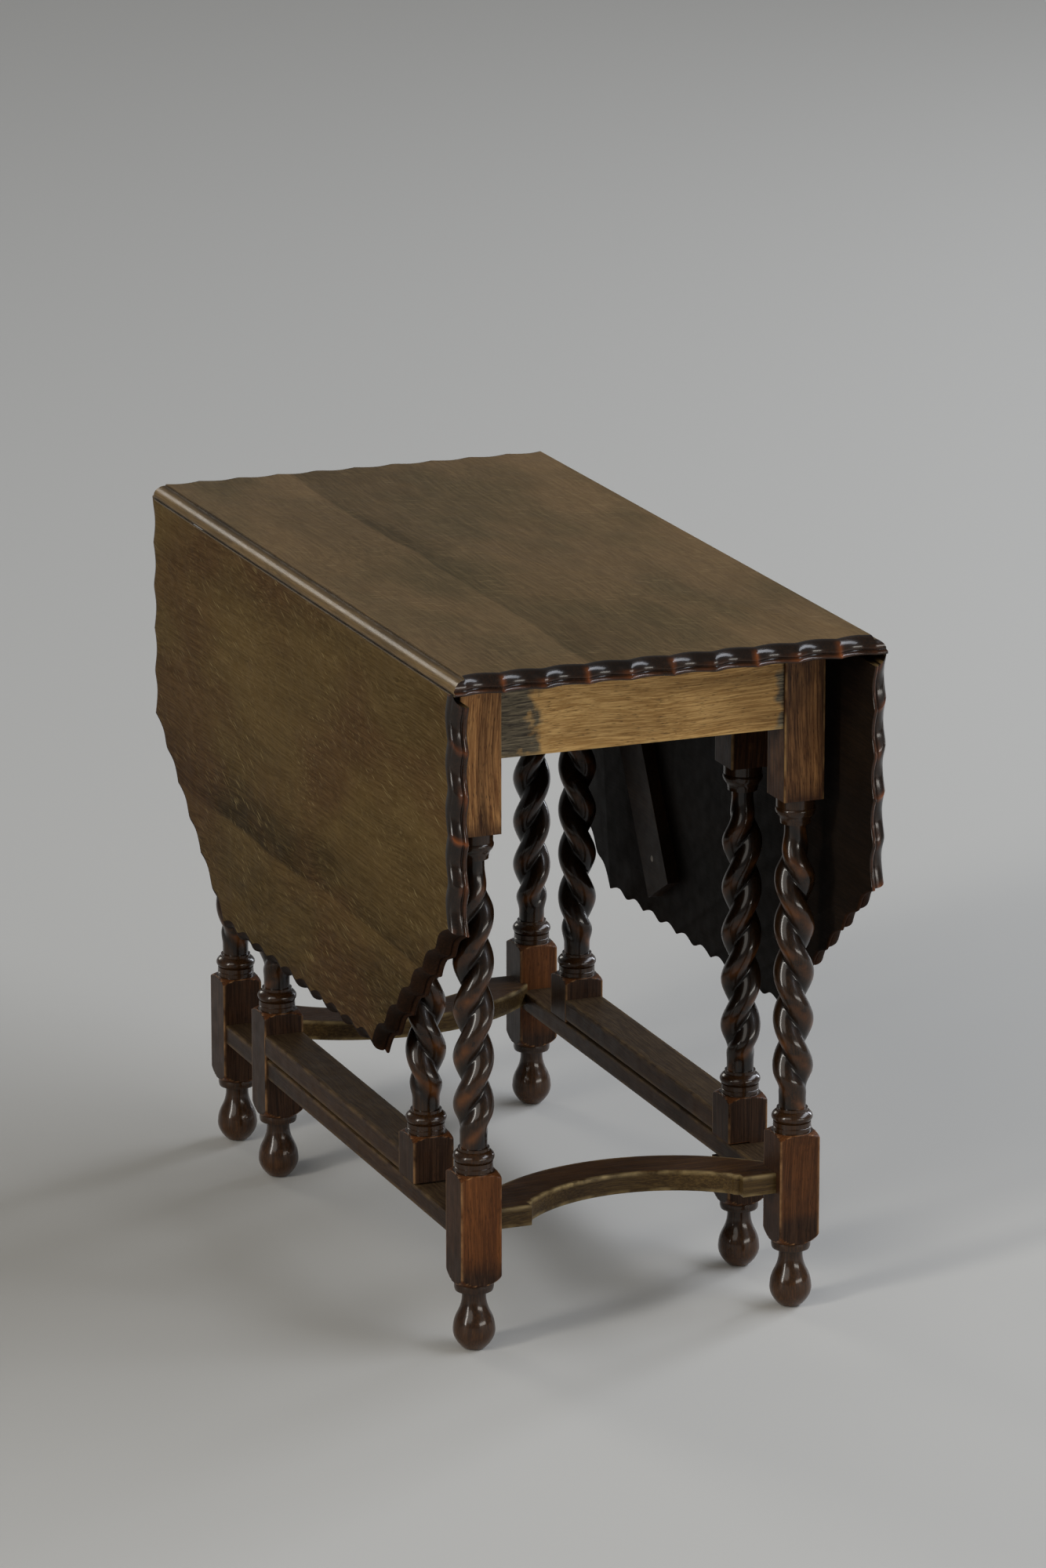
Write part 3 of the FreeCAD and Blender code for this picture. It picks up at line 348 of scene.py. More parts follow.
    def patterns(self, tree: Tree, place: Socket) -> list[Socket]:
        """Draws the board tones, the grain and the pores.

        Args:
            tree: The material's node tree.
            place: The coordinates that they follow.

        Returns:
            The shares of board tone, grain and pores.
        """
        shares = []
        for size_mm, detail, (low, high), most in (
            ((self.board_mm, self.board_length_mm), 2.0, self.board_levels, 1.0),
            ((self.grain_mm, self.grain_length_mm), 3.0, self.grain_levels, self.grain_amount),
            ((self.pore_mm, self.pore_length_mm), 1.0, self.pore_levels, self.pore_amount),
        ):
            noise = self.streaks(tree, place, size_mm, detail)
            shares.append(add_node(tree, "MapRange", {0: noise, 1: low, 2: high, 4: most}).outputs[0])
        if self.boards:
            shares[0] = self.boarded(tree, place, shares[0])
        return shares

    def second_share(self, tree: Tree, place: Socket, cloud: Socket, tone: Socket) -> Socket:
        """Works out where the second stain shows: in clouds, or from the mark with a ragged edge.

        Args:
            tree: The material's node tree.
            place: The coordinates that the clouds follow.
            cloud: A fine noise that tears the edge.
            tone: The mark.

        Returns:
            The second stain's share.
        """
        add = partial(add_node, tree)
        if self.stain_mm:
            low, high = self.stain_levels
            stain = self.streaks(tree, place, (self.stain_mm, self.stain_stretch * self.stain_mm), 2.0, 0.5)
            return add("MapRange", {0: stain, 1: low, 2: high, 4: self.stain_amount}).outputs[0]
        ragged = self.tone_ragged
        torn = add("Math", {0: cloud, 1: ragged, 2: -ragged / 2}, operation="MULTIPLY_ADD").outputs[0]
        edge = add("Math", {0: tone, 1: torn}, operation="ADD").outputs[0]
        half = self.tone_width / 2
        return add("MapRange", {0: edge, 1: 0.5 - half, 2: 0.5 + half}).outputs[0]

    def boarded(self, tree: Tree, place: Socket, cloudy: Socket) -> Socket:
        """Shades the glued boards, with a step at each glue line.

        Args:
            tree: The material's node tree.
            place: The coordinates that the boards follow.
            cloudy: A soft pattern that shades the boards within themselves.

        Returns:
            How light the stain is, from 0 to 1.
        """
        add = partial(add_node, tree)
        first, last = self.boards[0][0] * MM, self.boards[-1][0] * MM
        parts = add("SeparateXYZ", {0: place}).outputs
        share = add("MapRange", {0: parts[self.boards_across.value], 1: first, 2: last}).outputs[0]
        ramp = add("ValToRGB", {0: share})
        steps = ramp.color_ramp.elements
        for number, (spot, shade) in enumerate(self.boards):
            at = (spot * MM - first) / (last - first)
            step = steps[number] if number < 2 else steps.new(at)
            step.position = at
            step.color = (shade, shade, shade, 1.0)
        return add(
            "Mix", {0: self.board_cloud_share, 2: ramp.outputs[0], 3: cloudy}, data_type="FLOAT"
        ).outputs[0]

    def flecks(self, tree: Tree, place: Socket) -> Socket:
        """Draws the short pale strokes of cut wood rays, one to a drawn-out cell, in drifts that thin out.

        Args:
            tree: The material's node tree.
            place: The coordinates that the strokes follow.

        Returns:
            The share of fleck colour, 0 between the strokes.
        """
        add = partial(add_node, tree)
        bent = self.swayed(tree, place, *self.fleck_sway)
        turn = tuple(math.radians(angle) for angle in self.fleck_turn)
        turned = add("Mapping", {"Vector": bent, "Rotation": turn}).outputs[0]
        repeats = self.scale(self.fleck_apart_mm, self.fleck_length_mm)
        stretched = add("Mapping", {"Vector": turned, "Scale": repeats}).outputs[0]
        cells = add("TexVoronoi", {"Vector": stretched, "Scale": 1.0}).outputs
        full, none = self.stroke_fade
        stroke = add("MapRange", {0: cells["Distance"], 1: full, 2: none, 3: 1.0, 4: 0.0}).outputs[0]
        chance = add("SeparateColor", {0: cells["Color"]}).outputs[0]
        strong = add("Math", {0: stroke, 1: chance}, operation="MULTIPLY").outputs[0]
        drift = add("TexNoise", {"Vector": place, "Scale": self.drift_scale, "Detail": 2.0}).outputs["Fac"]
        low, high = self.drift_levels
        most = self.fleck_amount
        dense = add("MapRange", {0: drift, 1: low, 2: high, 3: most / 4, 4: most}).outputs[0]
        return add("Math", {0: strong, 1: dense}, operation="MULTIPLY").outputs[0]


@dataclass(frozen=True)
class MetalFinish:
    """Bare or darkened metal: its colour, clouded by handling, with a fine worked surface."""

    name: str
    bright: str
    dull: str
    roughness: float
    metallic: float = 1.0
    cloud_mm: float = 6.0
    grit_mm: float = 0.8
    relief_mm: float = 0.08
    dull_rougher: float = 0.1
    bright_smoother: float = 0.08
    # The noise levels between which it goes from dull to bright, and how strong its relief is.
    gloss_levels: ClassVar[Range] = (0.3, 0.7)
    relief_strength: ClassVar[float] = 0.3

    def build(self) -> bpy.types.Material:
        """Makes the material.

        Returns:
            A metal whose colour and gloss change from cloud to cloud.
        """
        material, tree, output = new_material(self.name)
        add = partial(add_node, tree)
        place = add("TexCoord").outputs["Object"]
        cloud, grit = (
            add("TexNoise", {"Vector": place, "Scale": 1 / (size * MM), "Detail": detail}).outputs["Fac"]
            for size, detail in ((self.cloud_mm, 4.0), (self.grit_mm, 2.0))
        )
        colour = add("Mix", {0: cloud, 6: linear(self.dull), 7: linear(self.bright)}, data_type="RGBA")
        low, high = self.gloss_levels
        gloss = add("MapRange", {
            0: cloud, 1: low, 2: high,
            3: self.roughness + self.dull_rougher, 4: self.roughness - self.bright_smoother,
        })
        relief = add("Bump", {
            "Height": grit, "Distance": self.relief_mm * MM, "Strength": self.relief_strength,
        })
        shader = add("BsdfPrincipled", {
            "Base Color": colour.outputs[2], "Roughness": gloss.outputs[0], "Metallic": self.metallic,
            "Normal": relief.outputs[0],
        })
        tree.links.new(shader.outputs[0], output.inputs["Surface"])
        return material


class Finish(Enum):
    """The finishes of the table, each for one kind of surface."""

    # Quarter-sawn oak, waxed to a satin: brown and olive boards with short pale flecks across them.
    TOP = OakFinish(
        "waxed_oak_top", "#382f1e", "#6a553b", "#7e6848", "#463d29", "#62543a", "#8a7a58", Axis.ALONG,
        fleck_amount=0.36, fleck_turn=(0.0, 0.0, -58.0), grain_amount=0.6, pore_amount=0.25, board_mm=90.0,
        roughness=0.5, relief_mm=0.1, specular=0.06, stain_mm=95.0, stain_amount=0.55,
        boards=(
            (-234, 0.75), (-160, 0.6), (-73, 0.78), (-70, 0.12), (-20, 0.45), (60, 0.55), (120, 0.85),
            (234, 0.9),
        ),
    )
    # The same oak with a warmer wax, its stain darkened as painted shade: olive brown with ochre zones and
    # dense flecks.
    LEAF = OakFinish(
        "waxed_oak_leaf", "#20180c", "#5b4829", "#6d5a39", "#3d2918", "#5c422b", "#8a6a3a", Axis.ALONG,
        fleck="#93825a", fleck_amount=0.75, fleck_turn=(-20.0, 0.0, 0.0), fleck_apart_mm=2.6,
        grain_amount=0.7, pore_amount=0.35, stain_mm=110.0, board_mm=70.0, roughness=0.55, relief_mm=0.1,
        specular=0.02, boards_across=Axis.UP,
        boards=(
            (280, 0.2), (360, 0.28), (424, 0.62), (427, 0.0), (470, 0.35), (540, 0.8), (630, 0.85),
            (720, 0.65),
        ),
    )
    # The rounded edge of the rule joint, rubbed by the leaf: brown and glossy.
    OVOLO = OakFinish(
        "rubbed_oak_ovolo", "#43341d", "#5f4b2d", "#78613e", "#4a3a24", "#6a5836", "#8f7a50", Axis.ALONG,
        coat=0.16, pore_amount=0.15, relief_mm=0.05,
    )
    # Carved rim, stained nearly black and polished, with the stain worn to orange on its ridges.
    RIM = OakFinish(
        "polished_oak_rim", "#110b07", "#1a110b", "#26180e", "#2a180c", "#3d2310", "#7a421d", Axis.ALONG,
        roughness=0.3, roughness_spread=0.08, coat=0.5, coat_roughness=0.15, pore_amount=0.2, relief_mm=0.05,
    )
    # The same rim where it hangs low and turns from the light: dry dark brown, hardly rubbed.
    LOW_RIM = OakFinish(
        "dry_oak_rim", "#130b06", "#1f130b", "#2b1a0f", "#2a180d", "#3a2213", "#4a2a16", Axis.ALONG,
        roughness=0.6, pore_amount=0.2, relief_mm=0.05, specular=0.04,
    )
    # Faces that never see light or polish: flat and dry, painted nearly black as shade.
    INNER = OakFinish(
        "dry_oak_inner", "#0d0805", "#150e08", "#1e140c", "#2a1a10", "#3a2616", "#5a4028", Axis.ALONG,
        roughness=0.6, specular=0.08,
    )
    # Turned oak, nearly black and glossy, a little redder at the feet.
    TURNED = OakFinish(
        "turned_oak", "#120a05", "#1d1208", "#301e0f", "#3f2611", "#5c3a1c", "#7c4a22", Axis.UP,
        roughness=0.3, roughness_spread=0.08, coat=0.5, coat_roughness=0.13, grain_mm=1.6, pore_amount=0.25,
        relief_mm=0.05,
    )
    # Squared lower blocks of the legs: red-brown with upright grain, dark purple-brown where they are soiled.
    # Their side faces take the darker stain as painted shade.
    SQUARED = OakFinish(
        "squared_oak_block", "#381f10", "#4e2e17", "#683e1f", "#21150e", "#38261a", "#a87f56", Axis.UP,
        roughness=0.36, grain_mm=1.6, relief_mm=0.1, specular=0.1, tone_width=0.9, tone_ragged=0.5,
    )
    # Squared heads of the legs, with much of the stain gone: orange brown, dark along their edges.
    # Their side faces and the band just under the top take the darker stain as painted shade.
    HEAD = OakFinish(
        "squared_oak_head", "#38200f", "#7e532e", "#bb8a55", "#2a1a10", "#4a2e1c", "#b08a58", Axis.UP,
        roughness=0.4, board_mm=16.0, pore_amount=0.7, relief_mm=0.12, tone_width=0.9, tone_ragged=0.5,
    )
    # End aprons, with most of the stain gone: golden ochre with fine grain along them, dark at one end.
    APRON = OakFinish(
        "golden_oak_apron", "#6e5029", "#a57e49", "#d6b073", "#3a342b", "#7c715b", "#cfae72", Axis.ACROSS,
        roughness=0.42, grain_mm=1.5, grain_length_mm=45.0, relief_mm=0.15, pore_amount=0.55, tone_width=0.16,
        tone_ragged=0.9,
    )
    # Curved stretchers: an olive brown front, a darker red-brown upper face and a pale rubbed arris.
    STRETCHER = OakFinish(
        "stained_oak_stretcher", "#281c0e", "#3d2e19", "#554325", "#2d1b0f", "#4b3119", "#b09a6c",
        Axis.ACROSS, roughness=0.4,
    )
    # Rails that run along the table: dark brown sides, dusty grey ochre on top.
    RAIL = OakFinish(
        "dusty_oak_rail", "#1d120b", "#2c1c11", "#3b2817", "#35281b", "#4f3f2b", "#7a6240", Axis.ALONG,
        roughness=0.45,
    )
    # Hinges of forged iron, blacked in oil.
    IRON = MetalFinish("oiled_iron", "#37302b", "#1c1613", 0.5, metallic=0.9)
    # Screws and pins of plain drawn steel, gone a little brown.
    STEEL = MetalFinish("drawn_steel", "#8c857a", "#5c5145", 0.38)
    # Nail glides of brass, scuffed by the floor.
    BRASS = MetalFinish("scuffed_brass", "#c9a356", "#8a6a33", 0.34)


class FinishShelf:
    """Keeps each finish's material, so that it is made once."""

    def __init__(self) -> None:
        """Starts with no material made."""
        self.made: dict[Finish, bpy.types.Material] = {}

    def get(self, finish: Finish) -> bpy.types.Material:
        """Gives the material of a finish.

        Args:
            finish: The finish.

        Returns:
            Its material, which is made on first use.
        """
        if finish not in self.made:
            self.made[finish] = finish.value.build()
        return self.made[finish]


SHELF = FinishShelf()


@dataclass
class Patch:
    """A stretch of surface: its points in millimetres, its faces, its finish and its marks."""

    points: np.ndarray
    faces: list[list[int]]
    finish: Finish
    smooth: bool = True
    marks: dict[str, np.ndarray] = field(default_factory=dict)


def grid_patch(
    points: np.ndarray, finish: Finish, wraps: bool = False, marks: dict[str, np.ndarray] | None = None
) -> Patch:
    """Makes a patch of quads from a grid of points.

    Args:
        points: Rows by columns by 3.
        finish: The finish of the surface.
        wraps: Whether the last column joins the first.
        marks: Values that spread over the grid's rows by columns.

    Returns:
        The patch.
    """
    rows, columns = points.shape[:2]
    numbers = np.arange(rows * columns).reshape(rows, columns)
    across = np.concatenate([numbers, numbers[:, :1]], axis=1) if wraps else numbers
    corners = [across[:-1, :-1], across[:-1, 1:], across[1:, 1:], across[1:, :-1]]
    quads = np.stack(corners, axis=-1).reshape(-1, 4)
    flat = {key: np.broadcast_to(value, (rows, columns)).ravel() for key, value in (marks or {}).items()}
    return Patch(points.reshape(-1, 3), quads.tolist(), finish, True, flat)


def loop_patch(points: np.ndarray, finish: Finish, marks: dict[str, np.ndarray] | None = None) -> Patch:
    """Makes a flat patch of one face from its outline's points."""
    return Patch(points, [list(range(len(points)))], finish, False, marks or {})


def make_piece(
    name: str, patches: Sequence[Patch], node: str, body: str = "frame"
) -> bpy.types.Object:
    """Joins patches into one closed mesh that stands for a CAD node.

    Args:
        name: The piece's name.
        patches: Patches whose borders meet.
        node: The node that it stands for.
        body: The body that it rides on.

    Returns:
        The new object, at the origin, with its place in its mesh.
    """
    points = np.concatenate([patch.points for patch in patches]) * MM
    starts = np.cumsum([0] + [len(patch.points) for patch in patches])
    faces = [[start + i for i in face] for patch, start in zip(patches, starts) for face in patch.faces]
    finishes = list(dict.fromkeys(patch.finish for patch in patches))
    mesh = bpy.data.meshes.new(name)
    mesh.from_pydata(points.tolist(), [], faces)
    for finish in finishes:
        mesh.materials.append(SHELF.get(finish))
    counts = [len(patch.faces) for patch in patches]
    indices = np.repeat([finishes.index(patch.finish) for patch in patches], counts)
    smooths = np.repeat([patch.smooth for patch in patches], counts)
    mesh.polygons.foreach_set("material_index", indices.astype(np.int32))
    mesh.polygons.foreach_set("use_smooth", smooths)
    for key in MARKS:
        values = [patch.marks.get(key, np.zeros(len(patch.points))) for patch in patches]
        mark = mesh.attributes.new(key, "FLOAT", "POINT")
        mark.data.foreach_set("value", np.concatenate(values).astype(np.float32))
    close_mesh(mesh)
    piece = bpy.data.objects.new(name, mesh)
    bpy.context.scene.collection.objects.link(piece)
    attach(piece, body)
    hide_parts(node)
    LOG.info("%s stands for %s on %s, %d faces", name, node, body, len(mesh.polygons))
    return piece


def close_mesh(mesh: bpy.types.Mesh) -> None:
    """Merges the borders of the patches, turns the faces outwards and keeps real edges sharp.

    Args:
        mesh: The mesh, which is changed in place.
    """
    shape = bmesh.new()
    shape.from_mesh(mesh)
    bmesh.ops.remove_doubles(shape, verts=shape.verts, dist=MERGE_MM * MM)
    bmesh.ops.dissolve_degenerate(shape, edges=shape.edges, dist=SLIVER_MM * MM)
    bmesh.ops.recalc_face_normals(shape, faces=shape.faces)
    shape.to_mesh(mesh)
    shape.free()
    mesh.set_sharp_from_angle(angle=SHARP_ANGLE)


def span_box(x: Range, y: Range, z: Range) -> np.ndarray:
    """Gives the lowest and highest corners, 2 by 3, of the box between pairs of values in either order."""
    return np.sort(np.array([x, y, z], dtype=float), axis=1).T


def carve(piece: bpy.types.Object, boxes: Sequence[np.ndarray]) -> None:
    """Cuts boxes that don't overlap out of a piece.

    Args:
        piece: The piece that loses material.
        boxes: Lowest and highest corners in millimetres, 2 by 3.
    """
    corners = np.array([[i, j, k] for i in (0, 1) for j in (0, 1) for k in (0, 1)])
    sides = [[0, 1, 3, 2], [4, 6, 7, 5], [0, 4, 5, 1], [2, 3, 7, 6], [0, 2, 6, 4], [1, 5, 7, 3]]
    points = np.concatenate([np.where(corners == 0, box[0], box[1]) for box in boxes]) * MM
    faces = [[8 * i + n for n in side] for i in range(len(boxes)) for side in sides]
    mesh = bpy.data.meshes.new("cutter")
    mesh.from_pydata(points.tolist(), [], faces)
    cutter = bpy.data.objects.new("cutter", mesh)
    bpy.context.scene.collection.objects.link(cutter)
    modifier = piece.modifiers.new("cut", "BOOLEAN")
    modifier.operation = "DIFFERENCE"
    modifier.solver = "EXACT"
    modifier.object = cutter
    graph = bpy.context.evaluated_depsgraph_get()
    carved = bpy.data.meshes.new_from_object(piece.evaluated_get(graph))
    piece.modifiers.clear()
    piece.data = carved
    bpy.data.objects.remove(cutter)
    carved.set_sharp_from_angle(angle=SHARP_ANGLE)


def ease(share: np.ndarray) -> np.ndarray:
    """Rises smoothly from 0 to 1, level at both ends."""
    clipped = np.clip(share, 0, 1)
    return clipped * clipped * (3 - 2 * clipped)


def between(first: np.ndarray, last: np.ndarray, rows: int = 48) -> np.ndarray:
    """Carries a line of points straight from one place to another, as rows by points by 3."""
    share = np.linspace(0, 1, rows)[:, None, None]
    return first[None] * (1 - share) + last[None] * share


@dataclass
class TurnedPost:
    """A square post turned to a pear foot, a double twist and rings, as one surface R(angle, height).

    Outside the twist, the radius is the smaller of the squared section and the turned profile. In the twist,
    a section is two strands of radius rho whose centres lie d either side of the axis.
    """

    half: float = 22.25
    arris: float = 1.3
    twist_low: float = 217.0
    twist_high: float = 522.0
    half_pitch: float = 50.0
    phase_degrees: float = 68.3
    phase_height: float = 437.6
    strand_radius: float = 13.3
    strand_offset: float = 7.7
    crease: float = 0.05
    # Each neck's radius, how far it runs plain and how far it runs into the twist.
    low_neck: Triple = (14.1, 10.0, 28.0)
    high_neck: Triple = (11.4, 8.0, 46.0)
    # Each stretch of the turning: low height and radius, high height and radius, swell at the middle, rows.
    turnings: tuple[tuple[float, float, float, float, float, int], ...] = (
        (1.8, 11.8, 24.0, 21.7, 3.4, 12),
        (24.0, 21.7, 39.0, 17.4, 0.9, 6),
        (39.0, 17.4, 56.0, 12.4, -1.0, 6),
        (56.0, 12.4, 63.9, 12.4, 0.0, 2),
        (64.0, 19.6, 71.9, 20.0, 0.7, 5),
        (72.0, 20.6, 84.0, 31.5, 2.0, 7),
        (84.0, 31.5, 186.5, 31.5, 0.0, 12),
        (186.5, 31.5, 191.9, 21.9, 1.2, 6),
        (192.0, 19.8, 196.4, 19.8, 0.0, 1),
        (196.4, 19.8, 197.6, 19.8, -0.6, 4),
        (197.6, 19.8, 202.0, 19.6, 0.0, 1),
        (202.2, 18.5, 213.9, 16.9, 3.7, 10),
        (214.1, 16.2, 216.9, 16.2, 0.0, 1),
        (217.0, 14.1, 522.0, 11.4, 0.0, 190),
        (522.1, 15.6, 524.5, 15.6, 0.0, 1),
        (524.6, 15.9, 530.0, 17.6, -0.5, 4),
        (530.0, 17.6, 536.0, 20.9, 0.6, 5),
        (536.0, 20.9, 539.8, 19.7, 0.6, 4),
        (540.0, 20.2, 549.9, 20.2, 0.0, 2),
        (550.0, 31.5, 717.0, 31.5, 0.0, 12),
    )
    # Low and high of each zone, and its finish.
    zones: tuple[tuple[float, float, Finish], ...] = (
        (0.0, 72.0, Finish.TURNED), (72.0, 191.9, Finish.SQUARED), (191.9, 549.9, Finish.TURNED),
        (549.9, 720.0, Finish.HEAD),
    )
    # Where the blocks start, where the lower one is rounded over, and where the head takes painted shade
    # below the top.
    block_low: float = 72.0
    head_low: float = 550.0
    shoulders: tuple[Range, ...] = ((71.0, 86.0), (183.0, 192.0))
    head_dark: float = 690.0
    foot_high: float = 45.0
    # How far a row may lie outside the twist or a zone and still belong to it.
    twist_slack: float = 0.05
    zone_slack: float = 0.02

    def angles(self) -> np.ndarray:
        """Gives the columns' angles.

        Returns:
            Angles in radians, close together at the four arrises.
        """
        near = np.array([0.0, 0.9, 1.9, 4.2, 8.0])
        offsets = np.concatenate([-near[:0:-1], near, np.linspace(13, 77, 14)])
        corners = np.arange(45, 360, 90)
        return np.radians(np.sort((corners[:, None] + offsets[None, :]).ravel()))

    def turned(self) -> tuple[np.ndarray, np.ndarray]:
        """Works out the turning: on each stretch a straight line plus a parabolic swell.

        Returns:
            The rows' heights and radii.
        """
        heights = []
        radii = []
        for low, low_radius, high, high_radius, swell, rows in self.turnings:
            share = np.linspace(0, 1, rows + 1)
            heights.append(low + (high - low) * share)
            radii.append(low_radius + (high_radius - low_radius) * share + swell * 4 * share * (1 - share))
        return np.concatenate(heights), np.concatenate(radii)

    def squared(self, angles: np.ndarray) -> np.ndarray:
        """Works out the squared section: the face at half its width, and a small arc at each arris.

        Args:
            angles: The columns' angles.

        Returns:
            The radius at each angle.
        """
        off = np.abs(angles % (np.pi / 2) - np.pi / 4)
        face = self.half / np.cos(np.pi / 4 - off)
        centre = (self.half - self.arris) * math.sqrt(2)
        inside = np.maximum(self.arris ** 2 - (centre * np.sin(off)) ** 2, 0)
        limit = math.pi / 4 - math.atan((self.half - self.arris) / self.half)
        return np.where(off < limit, centre * np.cos(off) + np.sqrt(inside), face)

    def twisted(self, turn: np.ndarray, heights: np.ndarray) -> np.ndarray:
        """Gives the twist's radius.

        With a the angle from a strand's centre, the radius is d * sqrt(cos(a)^2 + (crease * sin(a))^2)
        + sqrt(rho^2 - (d * sin(a))^2). Towards each neck, d falls to 0 and rho goes to the neck's radius.

        Args:
            turn: Angle from a strand's centre, rows by columns.
            heights: Heights, rows by 1.

        Returns:
            Radii, rows by columns.
        """
        low = ease((heights - self.twist_low - self.low_neck[1]) / self.low_neck[2])
        high = ease((self.twist_high - self.high_neck[1] - heights) / self.high_neck[2])
        offset = self.strand_offset * np.minimum(low, high)
        neck = np.where(low < high, self.low_neck[0], self.high_neck[0])
        strand = neck + (self.strand_radius - neck) * np.minimum(low, high)
        apart = offset * np.sqrt(np.cos(turn) ** 2 + (self.crease * np.sin(turn)) ** 2)
        return apart + np.sqrt(strand ** 2 - (offset * np.sin(turn)) ** 2)

    def patches(
        self, centre: Range, hand: Hand, low: float = 0.0, high: float = 717.0, lift: float = 0.0,
        shade: float = 0.0,
    ) -> list[Patch]:
        """Builds the post between two heights.

        Args:
            centre: X and Y of its axis.
            hand: The hand of its twist.
            low: Where it starts.
            high: Where it ends.
            lift: How much higher than usual its twist is cut.
            shade: How dark its blocks are, from 0 to 1.

        Returns:
            Its side and its two ends.
        """
        heights, radii = self.turned()
        kept = (heights > low) & (heights < high)
        first = max(low, heights[0])
        rows = np.concatenate([[first], heights[kept], [high]])[:, None]
        turned = np.interp(rows, heights, radii)
        angles = self.angles()[None, :]
        phase = np.radians(self.phase_degrees) + np.pi * (rows - lift - self.phase_height) / self.half_pitch
        turn = hand.value * angles - phase
        slack = self.twist_slack
        in_twist = (rows > self.twist_low - slack) & (rows < self.twist_high + slack)
        square = self.squared(angles)
        radius = np.where(in_twist, self.twisted(turn, rows), np.minimum(square, turned))
        points = np.stack([
            centre[0] + radius * np.cos(angles),
            centre[1] + radius * np.sin(angles),
            np.broadcast_to(rows, radius.shape),
        ], axis=-1)
        marks = self.marks(rows, angles, turn, turned, square, in_twist, shade)
        built = []
        for start, stop, finish in self.zones:
            above = rows[:, 0] > start - self.zone_slack
            below = rows[:, 0] < stop + self.zone_slack
            kept = np.flatnonzero(above & below)
            if len(kept) > 1:
                zone_marks = {key: mark[kept] for key, mark in marks.items()}
                built.append(grid_patch(points[kept], finish, True, zone_marks))
        for i, patch in ((0, built[0]), (-1, built[-1])):
            built.append(loop_patch(points[i], patch.finish, {key: mark[i] for key, mark in marks.items()}))
        return built

    def marks(
        self, rows: np.ndarray, angles: np.ndarray, turn: np.ndarray, turned: np.ndarray, square: np.ndarray,
        in_twist: np.ndarray, shade: float,
    ) -> dict[str, np.ndarray]:
        """Marks the blocks' soiled parts, their painted shade on the side faces and under the top, their
        rubbed arrises, and the twist's flanks and the painted shade in its creases.

        Args:
            rows: Heights, rows by 1.
            angles: Angles, 1 by columns.
            turn: Angle from a strand's centre, rows by columns.
            turned: Turned radii, rows by 1.
            square: Squared radii, 1 by columns.
            in_twist: Which rows are twisted, rows by 1.
            shade: How dark the blocks are.

        Returns:
            The marks tone, wear and the creases' painted shade, rows by columns.
        """
        off = np.abs(angles % (np.pi / 2) - np.pi / 4)
        in_block = (turned >= square) & ~in_twist
        in_head = rows > self.head_low - 10
        arris = np.clip(1 - off / math.radians(4.0), 0, 1)
        shoulder = np.any([(rows > low) & (rows < high) for low, high in self.shoulders], axis=0)
        arch = np.exp(-((turned - square) / 0.9) ** 2) * shoulder
        flank = np.exp(-((np.mod(turn - 0.45 + np.pi / 2, np.pi) - np.pi / 2) / 0.4) ** 2)
        crease = np.sin(turn) ** 12
        foot = np.clip(1 - rows / self.foot_high, 0, 1)
        # The blocks' side faces take the darker second stain as painted shade.
        side_shade = ease((np.abs(np.cos(angles)) - 0.68) / 0.06)
        soil_and_shade = np.clip(1.35 - (rows - self.block_low) / 27, 0, 1) * (rows > self.block_low - 0.5)
        soil_and_shade = soil_and_shade + np.clip(1 - (rows - self.head_low) / 16, 0, 0.7) * in_head
        # Painted shade on the head just under the top board.
        soil_and_shade = soil_and_shade + 0.3 * np.clip((rows - self.head_dark) / 20, 0, 1)
        soil_and_shade = soil_and_shade + 0.35 * np.exp(-(off / 0.12) ** 2) * in_head
        wear = np.where(in_twist, 0.38 * flank, np.where(in_block, 0.55 * arris, 0.6 * arch * (square < 29)))
        tone = np.where(in_block, np.maximum(shade, 0.82 * side_shade) + soil_and_shade, 0.15 + 0.5 * foot)
        # Painted shade along the twist's creases.
        grime = np.where(in_twist, 0.85 * crease, 0.0)
        shape = np.broadcast_shapes(rows.shape, angles.shape)
        found = {"tone": np.where(in_twist, 0.0, tone.clip(0, 1)), "wear": wear, "grime": grime}
        return {key: np.broadcast_to(mark, shape) for key, mark in found.items()}


